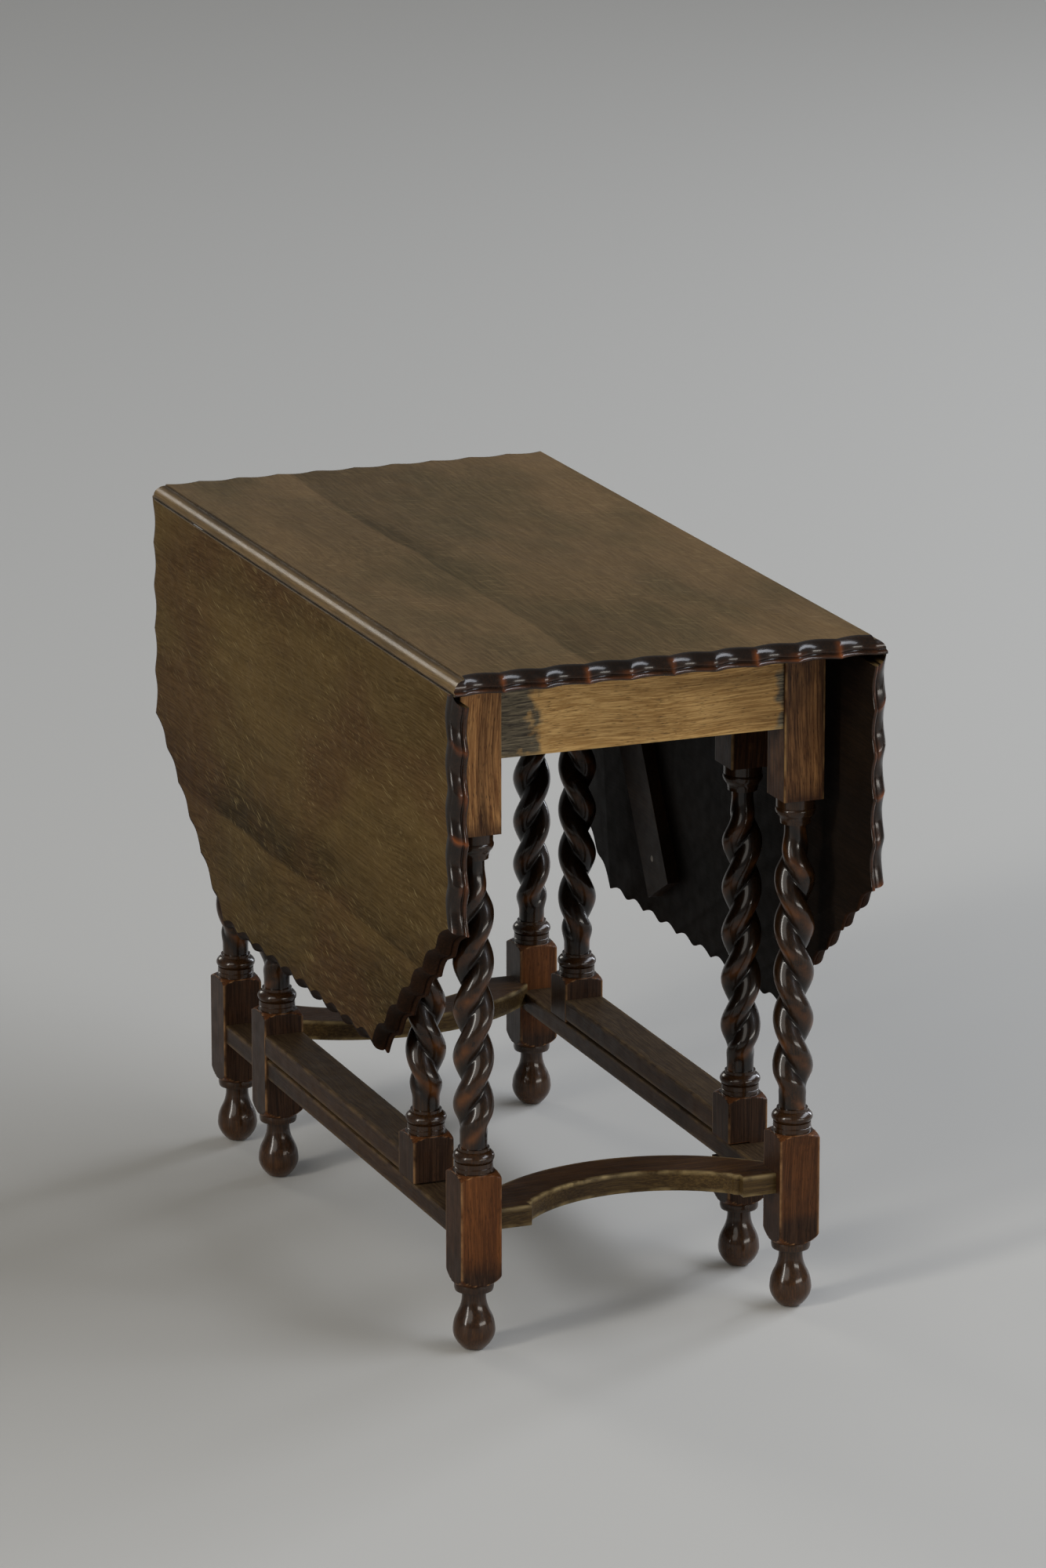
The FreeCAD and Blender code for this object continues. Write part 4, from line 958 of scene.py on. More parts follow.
@dataclass
class CarvedRim:
    """The moulded pie-crust rim: a roll, a quirk and a thin lip, carried along a scalloped line.

    The line moves in and out by a wave of crests one pitch apart, sharp on even counts and soft on odd ones:
    with k = cos(pi t / 2)^2 and s = |sin(pi t)|, the wave is k (1 - s) + (1 - k) (1 - s^1.5).
    """

    width: float = 14.0
    depth: float = 18.0
    wave: float = 6.5
    samples: int = 16
    # The roll: where it starts, its reach outwards and downwards, and its first and last angle.
    roll_start: Range = (0.4, 0.2)
    roll_reach: Range = (10.2, 11.6)
    roll_angles: Range = (14.0, 88.0)
    quirk_depth: float = 12.9

    def section(self) -> np.ndarray:
        """Works out the section: a quarter roll, a narrow quirk and a rounded lip.

        Returns:
            Outward distance and depth of each point.
        """
        roll = np.radians(np.linspace(*self.roll_angles, 12))
        out = self.roll_start[0] + self.roll_reach[0] * np.sin(roll)
        down = self.roll_start[1] + self.roll_reach[1] * (1 - np.cos(roll))
        quirk = [[10.2, 12.2], [10.0, self.quirk_depth], [10.3, 13.5], [11.2, 13.9], [12.6, 14.2]]
        lip = [[13.5, 14.8], [self.width, 15.8], [13.8, 16.9], [13.1, 17.7], [12.2, self.depth]]
        return np.concatenate([[[0.0, 0.0]], np.stack([out, down], axis=-1), quirk, lip])

    def crest(self, count: np.ndarray) -> np.ndarray:
        """Works out the wave.

        Args:
            count: Crest counts.

        Returns:
            1 on a crest and 0 in a hollow.
        """
        sharp = np.cos(np.pi * count / 2) ** 2
        swing = np.abs(np.sin(np.pi * count))
        return sharp * (1 - swing) + (1 - sharp) * (1 - swing ** 1.5)

    def inset(self, count: np.ndarray, depths: np.ndarray) -> np.ndarray:
        """Works out how far the rim lies inside the outline: by its section and by its wave.

        Args:
            count: Crest counts, stations by 1.
            depths: Depths.

        Returns:
            Distances, stations by levels.
        """
        section = self.section()
        within = self.width - np.interp(depths, section[:, 1], section[:, 0])
        return within[None, :] + self.wave * (1 - self.crest(count))

    def counts(self, first: float, last: float) -> np.ndarray:
        """Sets out the stations of a run.

        Args:
            first: The crest count at its start.
            last: The crest count at its end.

        Returns:
            Crest counts, with a station on every crest.
        """
        low = math.ceil(first * self.samples + 1e-6)
        high = math.floor(last * self.samples - 1e-6)
        inner = np.arange(low, high + 1) / self.samples
        return np.concatenate([[first], inner, [last]])

    def marks(self, count: np.ndarray, depths: np.ndarray, rub: float = 1.0) -> dict[str, np.ndarray]:
        """Marks the worn ridges and bulges, and paints shade in the quirk under the roll.

        The marks fade towards the last depth, where a flat face with no marks begins.

        Args:
            count: Crest counts, stations by 1.
            depths: Depths, 1 by levels.
            rub: How much its ridges are rubbed.

        Returns:
            The marks wear, tone and the quirk's painted shade, stations by levels.
        """
        near = np.abs(count - np.round(count))
        odd = np.abs(np.round(count)) % 2
        ridge = np.exp(-(near / 0.06) ** 2) * (1 - odd)
        bulge = np.exp(-(near / 0.16) ** 2) * odd * ease((depths - 6) / 4) * ease((17.5 - depths) / 3)
        lip = ease((depths - 13.8) / 0.8) * ease((17.4 - depths) / 2)
        inside = ease((self.depth - depths) / 1.2)
        # Painted shade in the quirk under the roll, kept off the sharp ridges.
        dirt = np.exp(-((depths - self.quirk_depth) / 0.7) ** 2)
        return {
            "wear": rub * inside * np.clip(0.85 * ridge * ease(depths / 4) + 0.35 * bulge + 0.2 * lip, 0, 1),
            "tone": 0.35 * inside * ease((depths - 7) / 5),
            "grime": 0.7 * dirt * (1 - ridge),
        }


@dataclass
class RuleJoint:
    """The rule joint: a quarter-round edge on the top, and the hollow in the leaf that turns about it."""

    axis_x: float = 220.5
    axis_z: float = 719.0
    hollow: float = 13.0
    ovolo: float = 12.6
    quirk: float = 3.0
    gap: float = 0.12
    thick: float = 16.0

    def depths(self, rim: CarvedRim) -> np.ndarray:
        """Sets out the levels of an edge that meets the rim.

        Args:
            rim: The rim.

        Returns:
            Depths that follow the rim's section, and the joint's curve closely where it starts level.
        """
        curve = self.quirk + self.hollow * np.linspace(0, 1, 15) ** 2
        return np.unique(np.concatenate([rim.section()[:, 1], curve]).clip(0, rim.depth))

    def top_edge(self, depths: np.ndarray) -> np.ndarray:
        """Gives the top's half width at each depth: a quirk, then a quarter round that ends upright."""
        fallen = np.clip(depths - self.quirk, 0, self.ovolo)
        return self.axis_x + np.sqrt(self.ovolo ** 2 - (self.ovolo - fallen) ** 2)

    def leaf_edge(self, depths: np.ndarray) -> np.ndarray:
        """Gives how far below the axis the leaf starts at each depth, on the hollow's arc."""
        hollowed = np.sqrt(np.maximum(self.hollow ** 2 - (self.thick - depths) ** 2, 0))
        return np.maximum(hollowed, self.gap)


@dataclass
class HingeSeats:
    """Where the flush hinges are let into the top and the leaves."""

    middles: Triple = (-310.0, 0.0, 310.0)
    half_length: float = 20.3
    plate_low: float = 716.0
    plate_high: float = 719.3
    top_reach: float = 32.3
    leaf_reach: float = 46.3
    leaf_depth: float = 3.0
    knuckle: float = 3.6
    # The raised leaf's plates lie in notches under the rounded edge.
    swing_reach: float = 13.5
    swing_start: float = 0.5
    swing_clear: float = 0.05
    # How far the cutters run past the hinge axis and out of the leaf's inner face.
    past_axis: float = 1.0
    past_face: float = 0.3
    # Each cut in turn is this much shorter, and starts this much lower, so that no two faces fall together.
    shorter: float = 0.1
    lower: float = 1.0

    def top_cuts(self, joint: RuleJoint) -> list[list[np.ndarray]]:
        """Sets out the seats under the top: for the plates, the knuckles and the raised leaf's plates.

        Args:
            joint: The rule joint at the top's sides.

        Returns:
            For each cut in turn, a box at each hinge of both sides.
        """
        axis = joint.axis_x
        cuts = (
            (axis - self.top_reach, axis + self.past_axis, self.plate_high),
            (axis - self.knuckle, axis + self.knuckle, joint.axis_z + self.knuckle),
            (axis + self.swing_start, axis + self.swing_reach, joint.axis_z + self.swing_clear),
        )
        boxes = []
        for turn, (near, far, high) in enumerate(cuts):
            half = self.half_length - self.shorter * turn
            low = self.plate_low - self.lower * turn
            boxes.append([
                span_box((side.value * near, side.value * far), (y - half, y + half), (low, high))
                for side in Side for y in self.middles
            ])
        return boxes

    def leaf_cuts(self, joint: RuleJoint, side: Side) -> list[np.ndarray]:
        """Sets out the seats in the inner face of one leaf.

        Args:
            joint: The rule joint above the leaf.
            side: The leaf's side.

        Returns:
            A box at each hinge.
        """
        sign = side.value
        x = (sign * (joint.axis_x - self.leaf_depth), sign * (joint.axis_x + self.past_face))
        z = (joint.axis_z - self.leaf_reach, joint.axis_z + self.past_axis)
        return [span_box(x, (y - self.half_length, y + self.half_length), z) for y in self.middles]


@dataclass
class TopBoard:
    """The fixed top: a flat field, a carved rim at each end and a rounded rule-joint edge at each side."""

    half_length: float = 463.0
    height: float = 735.0
    crest_pitch: float = 45.4
    fan_stations: int = 3
    rim: CarvedRim = field(default_factory=CarvedRim)
    joint: RuleJoint = field(default_factory=RuleJoint)
    seats: HingeSeats = field(default_factory=HingeSeats)

    def rim_grid(self, end: End, depths: np.ndarray) -> tuple[np.ndarray, np.ndarray]:
        """Works out the rim along one end.

        Stations keep their X at every depth, and the last few fan out to the rounded side edges.

        Args:
            end: Which end.
            depths: Depths below the surface.

        Returns:
            Points, stations by levels by 3, and crest counts, stations by 1.
        """
        axis = self.joint.axis_x
        limit = axis / self.crest_pitch
        counts = self.rim.counts(-limit, limit)
        inner = np.repeat((counts * self.crest_pitch)[:, None], len(depths), axis=1)
        fan = np.linspace(0, 1, self.fan_stations + 1)[1:, None]
        reach = axis + (self.joint.top_edge(depths)[None, :] - axis) * fan
        x = np.concatenate([-reach[::-1], inner, reach])
        ends = np.full(self.fan_stations, limit)
        count = np.concatenate([-ends, counts, ends])[:, None]
        y = end.value * (self.half_length - self.rim.inset(count, depths))
        z = np.broadcast_to(self.height - depths[None, :], x.shape)
        return np.stack([x, y, z], axis=-1), count

    def build(self) -> bpy.types.Object:
        """Builds the top and lets the hinges into it.

        Returns:
            The finished piece.
        """
        depths = self.joint.depths(self.rim)
        front, count = self.rim_grid(End.FRONT, depths)
        back, _ = self.rim_grid(End.BACK, depths)
        marks = self.rim.marks(count, depths[None, :])
        right = between(front[-1], back[-1])
        left = between(front[0], back[0])
        # Painted shade as dark lines at the quirk and along the lower edge by the leaf; light wear between.
        strip = {
            "wear": 0.15 * ease((depths - 3.2) / 2) * ease((14 - depths) / 6),
            "grime": 0.85 * np.exp(-((depths - 2.2) / 1.0) ** 2) + 0.9 * ease((depths - 13.4) / 2.4),
        }
        around = np.concatenate([front, right[1:-1], back[::-1], left[-2:0:-1]])
        piece = make_piece("oak_top", [
            grid_patch(front, Finish.RIM, marks=marks),
            grid_patch(back, Finish.RIM, marks=marks),
            grid_patch(right, Finish.OVOLO, marks=strip),
            grid_patch(left, Finish.OVOLO, marks=strip),
            loop_patch(around[:, 0], Finish.TOP),
            loop_patch(around[:, -1], Finish.INNER),
        ], "top_board")
        for boxes in self.seats.top_cuts(self.joint):
            carve(piece, boxes)
        return piece


@dataclass
class DropLeaf:
    """One hanging leaf, half of an octagon: a flat field, the carved rim and a hollowed rule-joint edge.

    It is worked out lying open, as fall below the hinge axis, distance along the table and depth from the
    show face, and then hung at its side.
    """

    side: Side
    half_length: float = 463.0
    end_fall: float = 248.0
    fall: float = 436.0
    half_bottom: float = 235.0
    show_x: float = 236.5
    rim: CarvedRim = field(default_factory=CarvedRim)
    joint: RuleJoint = field(default_factory=RuleJoint)
    seats: HingeSeats = field(default_factory=HingeSeats)
    # The five runs, from end to end: first and last crest count, finish, and how rubbed the ridges are.
    run_table: tuple[tuple[float, float, Finish, float], ...] = (
        (-5.0, 0.0, Finish.RIM, 1.0),
        (0.0, 6.0, Finish.LOW_RIM, 0.3),
        (0.0, 10.0, Finish.LOW_RIM, 0.3),
        (0.0, 6.0, Finish.LOW_RIM, 0.3),
        (0.0, 5.0, Finish.RIM, 1.0),
    )

    def hung(self, points: np.ndarray) -> np.ndarray:
        """Hangs points at the leaf's side.

        Args:
            points: Fall, distance along and depth, on the last axis.

        Returns:
            X, Y and Z on the last axis.
        """
        fall, along, depth = np.moveaxis(points, -1, 0)
        sign = self.side.value
        return np.stack([sign * (self.show_x - depth), sign * along, self.joint.axis_z - fall], axis=-1)

    def corners(self, depths: np.ndarray) -> tuple[np.ndarray, np.ndarray]:
        """Works out the corners of the outline, and how they move inwards along their mitres.

        Args:
            depths: Depths from the show face.

        Returns:
            The corners, 6 by levels by 2, and their moves for an inset of 1, 6 by 2.
        """
        half, bottom = self.half_length, self.half_bottom
        outline = np.array([
            [0.0, -half], [self.end_fall, -half], [self.fall, -bottom],
            [self.fall, bottom], [self.end_fall, half], [0.0, half],
        ])
        ways = np.diff(outline, axis=0)
        ways = ways / np.linalg.norm(ways, axis=1, keepdims=True)
        inward = np.stack([-ways[:, 1], ways[:, 0]], axis=-1)
        joined = inward[:-1] + inward[1:]
        mitres = joined / (1 + (inward[:-1] * inward[1:]).sum(axis=1, keepdims=True))
        corners = np.repeat(outline[:, None, :], len(depths), axis=1)
        corners[[0, -1], :, 0] = self.joint.leaf_edge(depths)
        return corners, np.concatenate([inward[:1], mitres, inward[-1:]])

    def run(self, number: int, depths: np.ndarray) -> tuple[np.ndarray, np.ndarray]:
        """Works out the rim along one free edge, a straight line between two corners that move inwards.

        Args:
            number: The run's number.
            depths: Depths from the show face.

        Returns:
            Its points, stations by levels by 3, and its crest counts, stations by 1.
        """
        corners, moves = self.corners(depths)
        first, last = self.run_table[number][:2]
        count = self.rim.counts(first, last)[:, None]
        share = ((count - first) / (last - first))[..., None]
        inset = self.rim.inset(count, depths)[..., None]
        low = corners[number][None] + inset * moves[number]
        high = corners[number + 1][None] + inset * moves[number + 1]
        flat = low * (1 - share) + high * share
        deep = np.broadcast_to(depths[None, :, None], (*flat.shape[:2], 1))
        return np.concatenate([flat, deep], axis=-1), count

    def build(self) -> bpy.types.Object:
        """Builds the leaf and lets the hinges into its inner face.

        Returns:
            The finished piece.
        """
        depths = self.joint.depths(self.rim)
        grids = []
        patches = []
        for number, (_, _, finish, rub) in enumerate(self.run_table):
            grid, count = self.run(number, depths)
            grids.append(grid)
            marks = self.rim.marks(count, depths[None, :], rub)
            patches.append(grid_patch(self.hung(grid), finish, marks=marks))
        edge = between(grids[-1][-1], grids[0][0])
        # The hollow, which lies in the joint, is darkened as painted shade; its top arris is worn.
        strip = {
            "wear": 0.6 * ease((1.4 - depths) / 0.8) * (depths > 0.1),
            "grime": 0.95 * ease((depths - 1.2) / 1.2) * ease((self.rim.depth - depths) / 3),
        }
        around = self.hung(np.concatenate([grid[:-1] for grid in (*grids, edge)]))
        patches += [
            grid_patch(self.hung(edge), Finish.OVOLO, marks=strip),
            loop_patch(around[:, 0], Finish.LEAF),
            loop_patch(around[:, -1], Finish.INNER),
        ]
        node = f"leaf_{self.side.word}"
        piece = make_piece(f"oak_{node}", patches, node, f"drop_{node}")
        carve(piece, self.seats.leaf_cuts(self.joint, self.side))
        return piece


@dataclass
class Plank:
    """A sawn bar with rubbed arrises: a rounded rectangle carried between a front and a back edge line."""

    front: np.ndarray
    back: np.ndarray
    low: float
    high: float
    finish: Finish
    arris: float = 1.4
    # Where the middle of a rounded arris lies, as a share of its radius.
    corner_share: float = 0.293
    margin: float = 5.0
    rub: float = 0.35

    def section(self) -> np.ndarray:
        """Sets out the ring of the section.

        Returns:
            For each point its edge line, distance in from it, height, and whether it is an arris.
        """
        low, high, arris, margin = self.low, self.high, self.arris, self.margin
        corner = self.corner_share * arris
        quarter = [
            (margin, low, 0), (arris, low, 1), (corner, low + corner, 1), (0, low + arris, 1),
            (0, low + margin, 0), (0, high - margin, 0), (0, high - arris, 1), (corner, high - corner, 1),
            (arris, high, 1), (margin, high, 0),
        ]
        ring = [(0, *point) for point in quarter] + [(1, *point) for point in quarter[::-1]]
        return np.array(ring, dtype=float)

    def patches(
        self, dusty: float = 0.0, tone: np.ndarray | float = 0.0, chips: np.ndarray | float = 0.0
    ) -> list[Patch]:
        """Builds the bar.

        Args:
            dusty: How far the upper face turns to the finish's second tone.
            tone: The second tone's share, at all stations or at each.
            chips: How chipped the upper front arris is, at all stations or at each.

        Returns:
            Its side and its two ends.
        """
        ring = self.section()
        way = self.back - self.front
        way = way / np.linalg.norm(way, axis=1, keepdims=True)
        near = self.front[:, None, :] + way[:, None, :] * ring[None, :, 1:2]
        far = self.back[:, None, :] - way[:, None, :] * ring[None, :, 1:2]
        flat = np.where(ring[None, :, 0:1] == 0, near, far)
        heights = np.broadcast_to(ring[None, :, 2:3], (*flat.shape[:2], 1))
        points = np.concatenate([flat, heights], axis=-1)
        upper = dusty * (ring[:, 2] > self.high - 0.01)
        toned, chipped = (np.broadcast_to(values, len(points))[:, None] for values in (tone, chips))
        arris = ring[:, 3] * (ring[:, 0] == 0) * (ring[:, 2] > self.high - self.margin)
        marks = {
            "wear": np.maximum(self.rub * ring[None, :, 3], chipped * arris[None, :]),
            "tone": np.maximum(upper[None, :], toned),
        }
        ends = [
            loop_patch(points[i], self.finish, {key: mark[i] for key, mark in marks.items()}) for i in (0, -1)
        ]
        return [grid_patch(points, self.finish, True, marks), *ends]


def straight_plank(
    low: np.ndarray, high: np.ndarray, axis: Axis, finish: Finish, stations: int = 25
) -> Plank:
    """Makes a straight bar that fills a box.

    Args:
        low: Lowest corner.
        high: Highest corner.
        axis: The way that it runs.
        finish: Its finish.
        stations: How many stations it has.

    Returns:
        The bar.
    """
    along, across = axis.value, 1 - axis.value
    lines = np.empty((2, stations, 2))
    lines[:, :, along] = low[along] + (high[along] - low[along]) * np.linspace(0, 1, stations)
    lines[:, :, across] = [[low[across]], [high[across]]]
    return Plank(lines[0], lines[1], low[2], high[2], finish)


def node_box(node: str) -> np.ndarray:
    """Gives a CAD node's lowest and highest corners in millimetres, 2 by 3."""
    low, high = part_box(node)
    return np.array([list(low), list(high)]) / MM


def build_rail(node: str, reach: float, dusty: float, body: str = "frame") -> None:
    """Builds a rail that runs along the table in place of a CAD node, without its hidden tenons.

    Args:
        node: The node.
        reach: How far it runs either side of the middle.
        dusty: How dusty its upper face is.
        body: The body that it rides on.
    """
    low, high = node_box(node)
    low[1], high[1] = -reach, reach
    plank = straight_plank(low, high, Axis.ALONG, Finish.RAIL)
    make_piece(f"oak_{node}", plank.patches(dusty=dusty), node, body)


@dataclass
class CurvedStretcher:
    """The stretcher between two end legs: square tabs at the legs, a small cove, then a hollow front arc."""

    tab_y: float = 374.75
    leg_face: float = 154.25
    tab_inner: float = 117.25
    tab_return: float = 9.0
    cove: float = 6.0
    rise: float = 43.0
    width: float = 52.0
    low: float = 128.0
    high: float = 150.0
    tenon: float = 6.0
    # Where its upper front arris is chipped pale, and how far the chips spread.
    chip_x: float = 45.0
    chip_spread: float = 50.0
    dusty: float = 0.9

    def lines(self) -> tuple[np.ndarray, np.ndarray]:
        """Works out the front and back lines of the half with positive X, then mirrors them.

        The front line is the tab, its return, a quarter cove and a circular arc to the middle. The back line
        is the concentric arc, out to the leg.

        Returns:
            Front and back lines, stations by 2, at the positive end of Y.
        """
        step = self.tab_y - self.tab_return
        half_span = self.tab_inner - self.cove
        apex = step - self.cove - self.rise
        radius = (half_span ** 2 + self.rise ** 2) / (2 * self.rise)
        centre = apex + radius
        arc = np.linspace(math.asin(half_span / radius), 0, 40)
        front_arc = np.stack([radius * np.sin(arc), centre - radius * np.cos(arc)], axis=-1)
        quarter = np.linspace(0, math.pi / 2, 9)
        cove = np.stack([
            self.tab_inner - self.cove * np.sin(quarter), step - self.cove * (1 - np.cos(quarter)),
        ], axis=-1)
        outer = self.leg_face + self.tenon
        tab = np.stack([np.linspace(outer, self.tab_inner, 8), np.full(8, self.tab_y)], axis=-1)
        front = np.concatenate([tab, cove, front_arc[1:]])
        deep = radius + self.width
        share = np.linspace(math.asin(outer / deep), 0, len(front))
        back = np.stack([deep * np.sin(share), centre - deep * np.cos(share)], axis=-1)
        mirrored = np.array([-1.0, 1.0])
        return tuple(np.concatenate([line, line[-2::-1] * mirrored]) for line in (front, back))

    def build(self, end: End) -> None:
        """Builds the stretcher of one end, as a bar between its two lines.

        Args:
            end: Which end.
        """
        front, back = (line * np.array([1.0, end.value]) for line in self.lines())
        plank = Plank(front, back, self.low, self.high, Finish.STRETCHER)
        chips = np.exp(-((end.value * front[:, 0] - self.chip_x) / self.chip_spread) ** 2)
        node = f"stretcher_{end.word}"
        make_piece(f"oak_{node}", plank.patches(dusty=self.dusty, chips=chips), node)


@dataclass
class Underframe:
    """The fixed frame under the top: four legs, two aprons, two side rails and the low stretchers."""

    leg_x: float = 176.5
    leg_y: float = 363.5
    top_low: float = 717.0
    leg_face: float = 22.25
    bury: float = 4.0
    dusty: float = 0.8
    # How far the old dark stain reaches at the two ends of an apron.
    apron_dark: float = 82.0
    apron_shaded: float = 40.0
    # How much higher than the front left one each leg's twist is cut.
    lifts: dict[tuple[End, Side], float] = field(default_factory=lambda: {
        (End.FRONT, Side.RIGHT): -13.0, (End.BACK, Side.RIGHT): 19.0,
    })
    # How dark each leg's blocks are.
    shades: dict[tuple[End, Side], float] = field(default_factory=lambda: {
        (End.FRONT, Side.RIGHT): 0.55, (End.BACK, Side.LEFT): 0.9,
    })
    post: TurnedPost = field(default_factory=TurnedPost)
    stretcher: CurvedStretcher = field(default_factory=CurvedStretcher)

    def build(self) -> None:
        """Builds every piece of the frame."""
        for end in End:
            for side in Side:
                self.build_leg(end, side)
            self.build_apron(end)
            self.stretcher.build(end)
        for side in Side:
            for kind in ("side_rail", "stretcher"):
                build_rail(f"{kind}_{side.word}", self.leg_y - self.leg_face + self.bury, self.dusty)

    def build_leg(self, end: End, side: Side) -> None:
        """Builds one corner leg; its twist is right-handed at the front left and the back right.

        Args:
            end: The leg's end of the table.
            side: The leg's side of the table.
        """
        patches = self.post.patches(
            (side.value * self.leg_x, end.value * self.leg_y),
            Hand.RIGHT if end.value == side.value else Hand.LEFT,
            high=self.top_low,
            lift=self.lifts.get((end, side), 0.0),
            shade=self.shades.get((end, side), 0.0),
        )
        node = f"leg_{end.word}_{side.word}"
        make_piece(f"oak_{node}", patches, node)

    def build_apron(self, end: End) -> None:
        """Builds one end apron, with old dark stain left at the end where it was covered.

        Args:
            end: Which end.
        """
        node = f"apron_{end.word}"
        low, high = node_box(node)
        reach = self.leg_x - self.leg_face + self.bury
        low[0], high[0] = -reach, reach
        plank = straight_plank(low, high, Axis.ACROSS, Finish.APRON)
        from_dark = reach - end.value * plank.front[:, 0]
        tone = np.clip(1 - from_dark / self.apron_dark, 0, 1)
        tone = tone + np.clip(0.75 - (2 * reach - from_dark) / self.apron_shaded, 0, 1)
        make_piece(f"oak_{node}", plank.patches(tone=tone), node)


@dataclass
class Gate:
    """One gate: a twisted leg to the floor, a twisted stile on pivots and two rails between them."""

    side: Side
    post_x: float = 176.5
    post_y: float = 228.0
    half: float = 22.25
    stile_low: float = 143.5
    stile_high: float = 672.5
    leg_high: float = 715.5
    tongue_inner: float = 7.5
    lap_low: float = 118.0
    lap_high: float = 143.0
    lap_inner: float = 2.0
    leg_lift: float = 4.0
    stile_lift: float = 6.0
    shade: float = 1.0
    bury: float = 4.0
    dusty: float = 0.9
    # How far the cutters run past the post.
    cut_reach: float = 40.0
    cut_high: float = 730.0
    post: TurnedPost = field(default_factory=TurnedPost)

    def build(self) -> None:
        """Builds the gate's four pieces."""
        word = self.side.word
        sign = self.side.value
        body = f"gate_{word}"
        x = sign * self.post_x
        y = sign * self.post_y
        leg = make_piece(
            f"oak_gate_leg_{word}",
            self.post.patches((x, -y), Hand.RIGHT, high=self.leg_high, lift=self.leg_lift, shade=self.shade),
            f"gate_leg_{word}", body,
        )
        carve(leg, [
            self.notch((self.lap_low, self.lap_high), self.lap_inner),
            self.notch((self.stile_high, self.cut_high), self.tongue_inner),
        ])
        stile = self.post.patches(
            (x, y), Hand.LEFT, low=self.stile_low, high=self.stile_high, lift=self.stile_lift,
            shade=self.shade,
        )
        make_piece(f"oak_gate_stile_{word}", stile, f"gate_stile_{word}", body)
        for kind in ("lower", "upper"):
            build_rail(f"gate_{kind}_rail_{word}", self.post_y - self.half + self.bury, self.dusty, body)

    def notch(self, heights: Range, reach: float) -> np.ndarray:
        """Sets out a notch in the leg, from its inner side to a little past its axis.

        Args:
            heights: Where it starts and ends.
            reach: How far past the axis it goes.

        Returns:
            The box to cut.
        """
        sign = self.side.value
        x = (sign * self.post_x - sign * self.cut_reach, sign * self.post_x + sign * reach)
        y = -sign * self.post_y
        return span_box(x, (y - self.cut_reach, y + self.cut_reach), heights)


class Hardware(Enum):
    """The pieces that keep their CAD shapes: the stems of their nodes at both sides, and their finish."""

    HINGES = (("hinge_top_plates", "hinge_leaf_plates"), Finish.IRON)
    PINS = (("gate_pivots", "hinge_pins"), Finish.STEEL)
    SCREWS = (("hinge_top_screws", "hinge_leaf_screws", "leaf_stop_screws"), Finish.STEEL)
    GLIDES = (("foot_glide_gate",), Finish.BRASS)
    BATTENS = (("leaf_stop",), Finish.RAIL)


def dress_hardware(nodes: dict[str, bpy.types.Object]) -> None:
    """Gives the metal nodes and the stop battens their finishes.

    Args:
        nodes: The frame's nodes by name.
    """
    dressed = {"top_screws": Finish.STEEL, "foot_glides_frame": Finish.BRASS}
    for kind in Hardware:
        stems, finish = kind.value
        dressed.update({f"{stem}_{side.word}": finish for stem in stems for side in Side})
    for node, finish in dressed.items():
        nodes[node].data.materials.clear()
        nodes[node].data.materials.append(SHELF.get(finish))
        LOG.info("%s is finished as %s", node, finish.value.name)


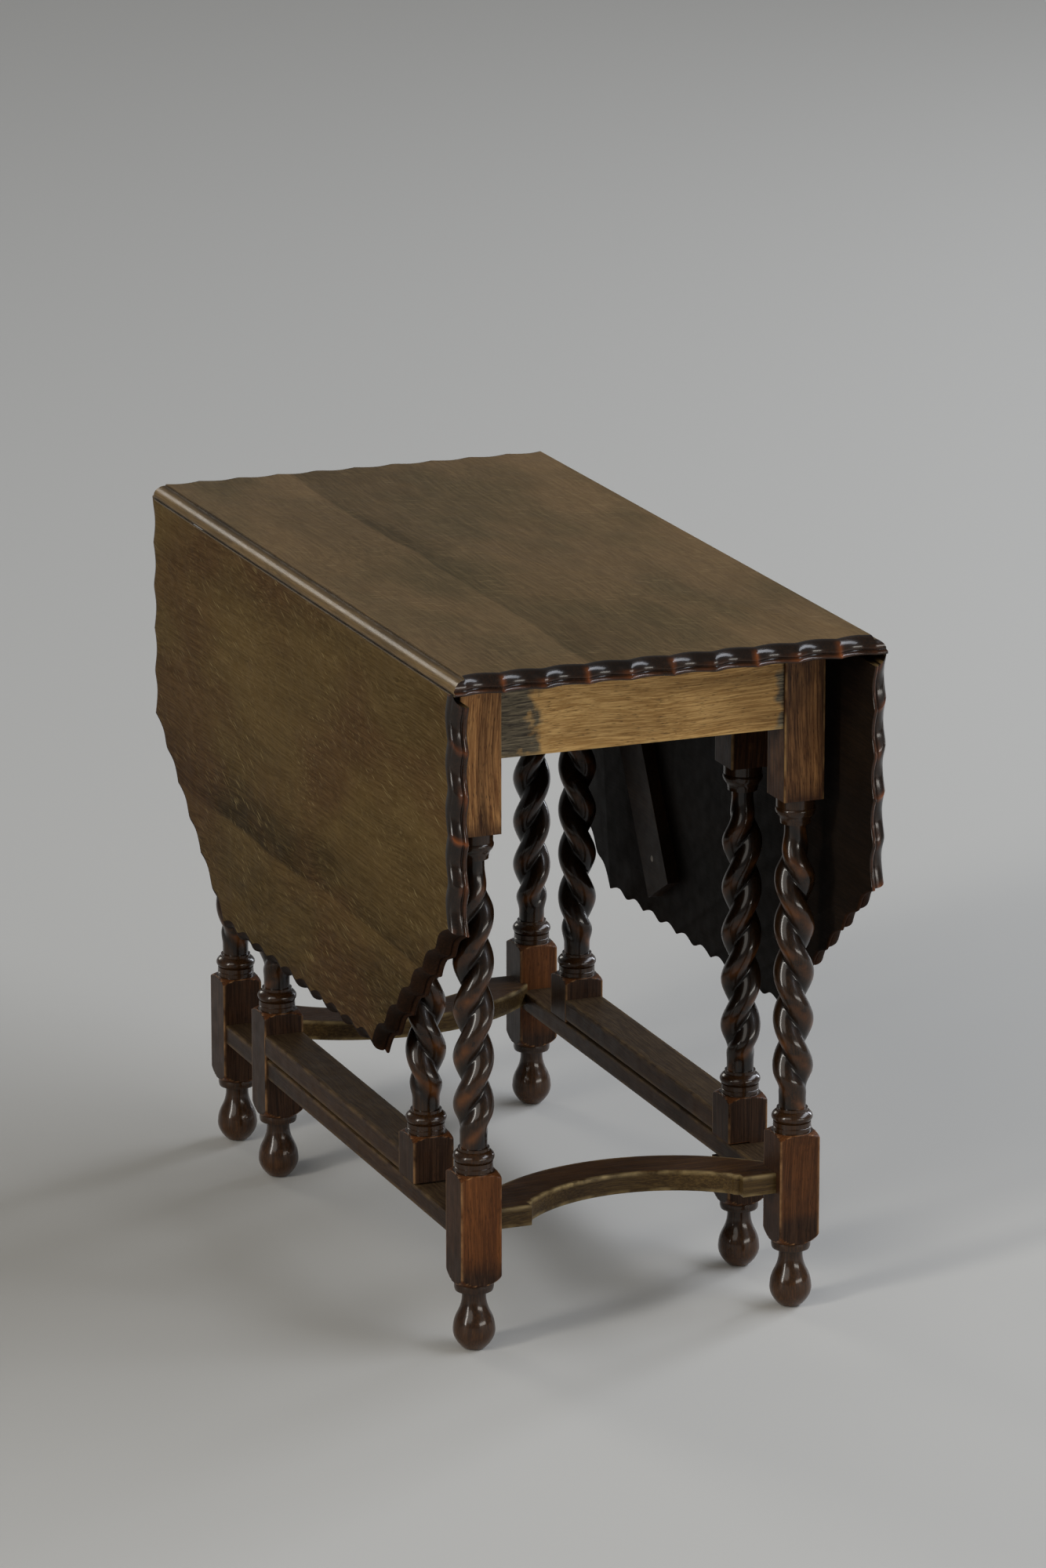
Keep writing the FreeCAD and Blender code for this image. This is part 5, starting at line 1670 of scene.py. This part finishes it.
@dataclass
class Studio:
    """A pale floor, soft lamps all round, an even sky and the camera of the photograph."""

    floor: str = "#b8b7b3"
    floor_roughness: float = 0.7
    floor_half: float = 30.0
    sky: str = "#f2f4f6"
    sky_strength: float = 0.17
    # Lamps so far off that they light the whole floor evenly: name, the way to it, how wide it looks in
    # degrees, its light on a sheet that faces it in watts per square metre, and its colour.
    suns: tuple[tuple[str, Triple, float, float, str], ...] = (
        ("fill_lamp", (-0.72, -0.62, 0.62), 32.0, 0.45, "#fff8ee"),
        ("back_lamp", (-0.27, 0.90, 0.40), 16.0, 0.35, "#fffaf0"),
    )
    # Soft boxes, for long highlights on turned and carved wood: name, the way to it, its width and height in
    # metres, its power in watts and its colour.
    boxes: tuple[tuple[str, Triple, Range, float, str], ...] = (
        ("window_box", (0.74, -0.20, 0.62), (11.6, 2.6), 685.0, "#f0f5ff"),
        ("front_box", (0.45, -0.87, 0.16), (5.8, 1.3), 208.0, "#fffaf2"),
        ("right_box", (0.90, 0.42, 0.26), (1.3, 3.6), 170.0, "#f0f5ff"),
        ("left_box", (-0.90, -0.33, 0.36), (1.3, 4.8), 345.0, "#fbf7f0"),
    )
    box_away: float = 9.0
    box_aim: float = 0.4
    camera_place: Triple = (-2.6186, -6.6477, 2.4715)
    azimuth: float = -21.6619
    elevation: float = 15.5258
    lens: float = 160.59
    sensor: float = 36.0

    def build(self) -> None:
        """Sets the stage, the lamps, the sky and the camera."""
        self.build_floor()
        self.build_sky()
        for name, way, spread, strength, colour in self.suns:
            sun = self.hang_lamp(name, "SUN", way, strength, colour)
            sun.data.angle = math.radians(spread)
        for name, way, (width, height), power, colour in self.boxes:
            box = self.hang_lamp(name, "AREA", way, power, colour)
            box.data.shape = "RECTANGLE"
            box.data.size = width
            box.data.size_y = height
            box.location = Vector(way).normalized() * self.box_away + Vector((0, 0, self.box_aim))
            box.visible_camera = False
        self.build_camera()
        bpy.context.scene.view_settings.view_transform = "Standard"

    def build_floor(self) -> None:
        """Lays the floor: one pale flat sheet."""
        half = self.floor_half
        corners = [(-half, -half, 0), (half, -half, 0), (half, half, 0), (-half, half, 0)]
        mesh = bpy.data.meshes.new("studio_floor")
        mesh.from_pydata(corners, [], [(0, 1, 2, 3)])
        floor = bpy.data.objects.new("studio_floor", mesh)
        bpy.context.scene.collection.objects.link(floor)
        material, tree, output = new_material("pale_studio_floor")
        shader = add_node(tree, "BsdfPrincipled", {
            "Base Color": linear(self.floor), "Roughness": self.floor_roughness,
        })
        tree.links.new(shader.outputs[0], output.inputs["Surface"])
        mesh.materials.append(material)

    def build_sky(self) -> None:
        """Fills the room with even pale light."""
        world = bpy.data.worlds.new("studio_sky")
        world.use_nodes = True
        tree = world.node_tree
        tree.nodes.clear()
        shade = add_node(tree, "Background", {"Color": linear(self.sky), "Strength": self.sky_strength})
        output = add_node(tree, "OutputWorld")
        tree.links.new(shade.outputs[0], output.inputs["Surface"])
        bpy.context.scene.world = world

    def hang_lamp(self, name: str, kind: str, way: Triple, energy: float, colour: str) -> bpy.types.Object:
        """Hangs one lamp that faces the table.

        Args:
            name: The lamp's name.
            kind: Blender's kind of light.
            way: The direction from the table to the lamp.
            energy: Its strength or power.
            colour: Its colour.

        Returns:
            The lamp's object, at the origin.
        """
        lamp = bpy.data.lights.new(name, kind)
        lamp.energy = energy
        lamp.color = linear(colour)[:3]
        holder = bpy.data.objects.new(name, lamp)
        holder.rotation_euler = (-Vector(way)).to_track_quat("-Z", "Y").to_euler()
        bpy.context.scene.collection.objects.link(holder)
        return holder

    def build_camera(self) -> None:
        """Sets the camera at the photograph's place, turned by its azimuth and elevation."""
        turn = math.radians(self.azimuth)
        rise = math.radians(self.elevation)
        back = Vector((math.sin(turn) * math.cos(rise), -math.cos(turn) * math.cos(rise), math.sin(rise)))
        lens = bpy.data.cameras.new("photo_camera")
        lens.lens = self.lens
        lens.sensor_width = self.sensor
        camera = bpy.data.objects.new("photo_camera", lens)
        camera.location = self.camera_place
        camera.rotation_euler = (-back).to_track_quat("-Z", "Y").to_euler()
        bpy.context.scene.collection.objects.link(camera)
        bpy.context.scene.camera = camera


def main() -> None:
    """Loads the frame and builds the table's sub-assemblies in order."""
    logging.basicConfig(level=logging.INFO, format="%(message)s")
    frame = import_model()
    Studio().build()
    TopBoard().build()
    for side in Side:
        DropLeaf(side).build()
    Underframe().build()
    for side in Side:
        Gate(side).build()
    dress_hardware(frame["nodes"])


if __name__ == "__main__":
    main()
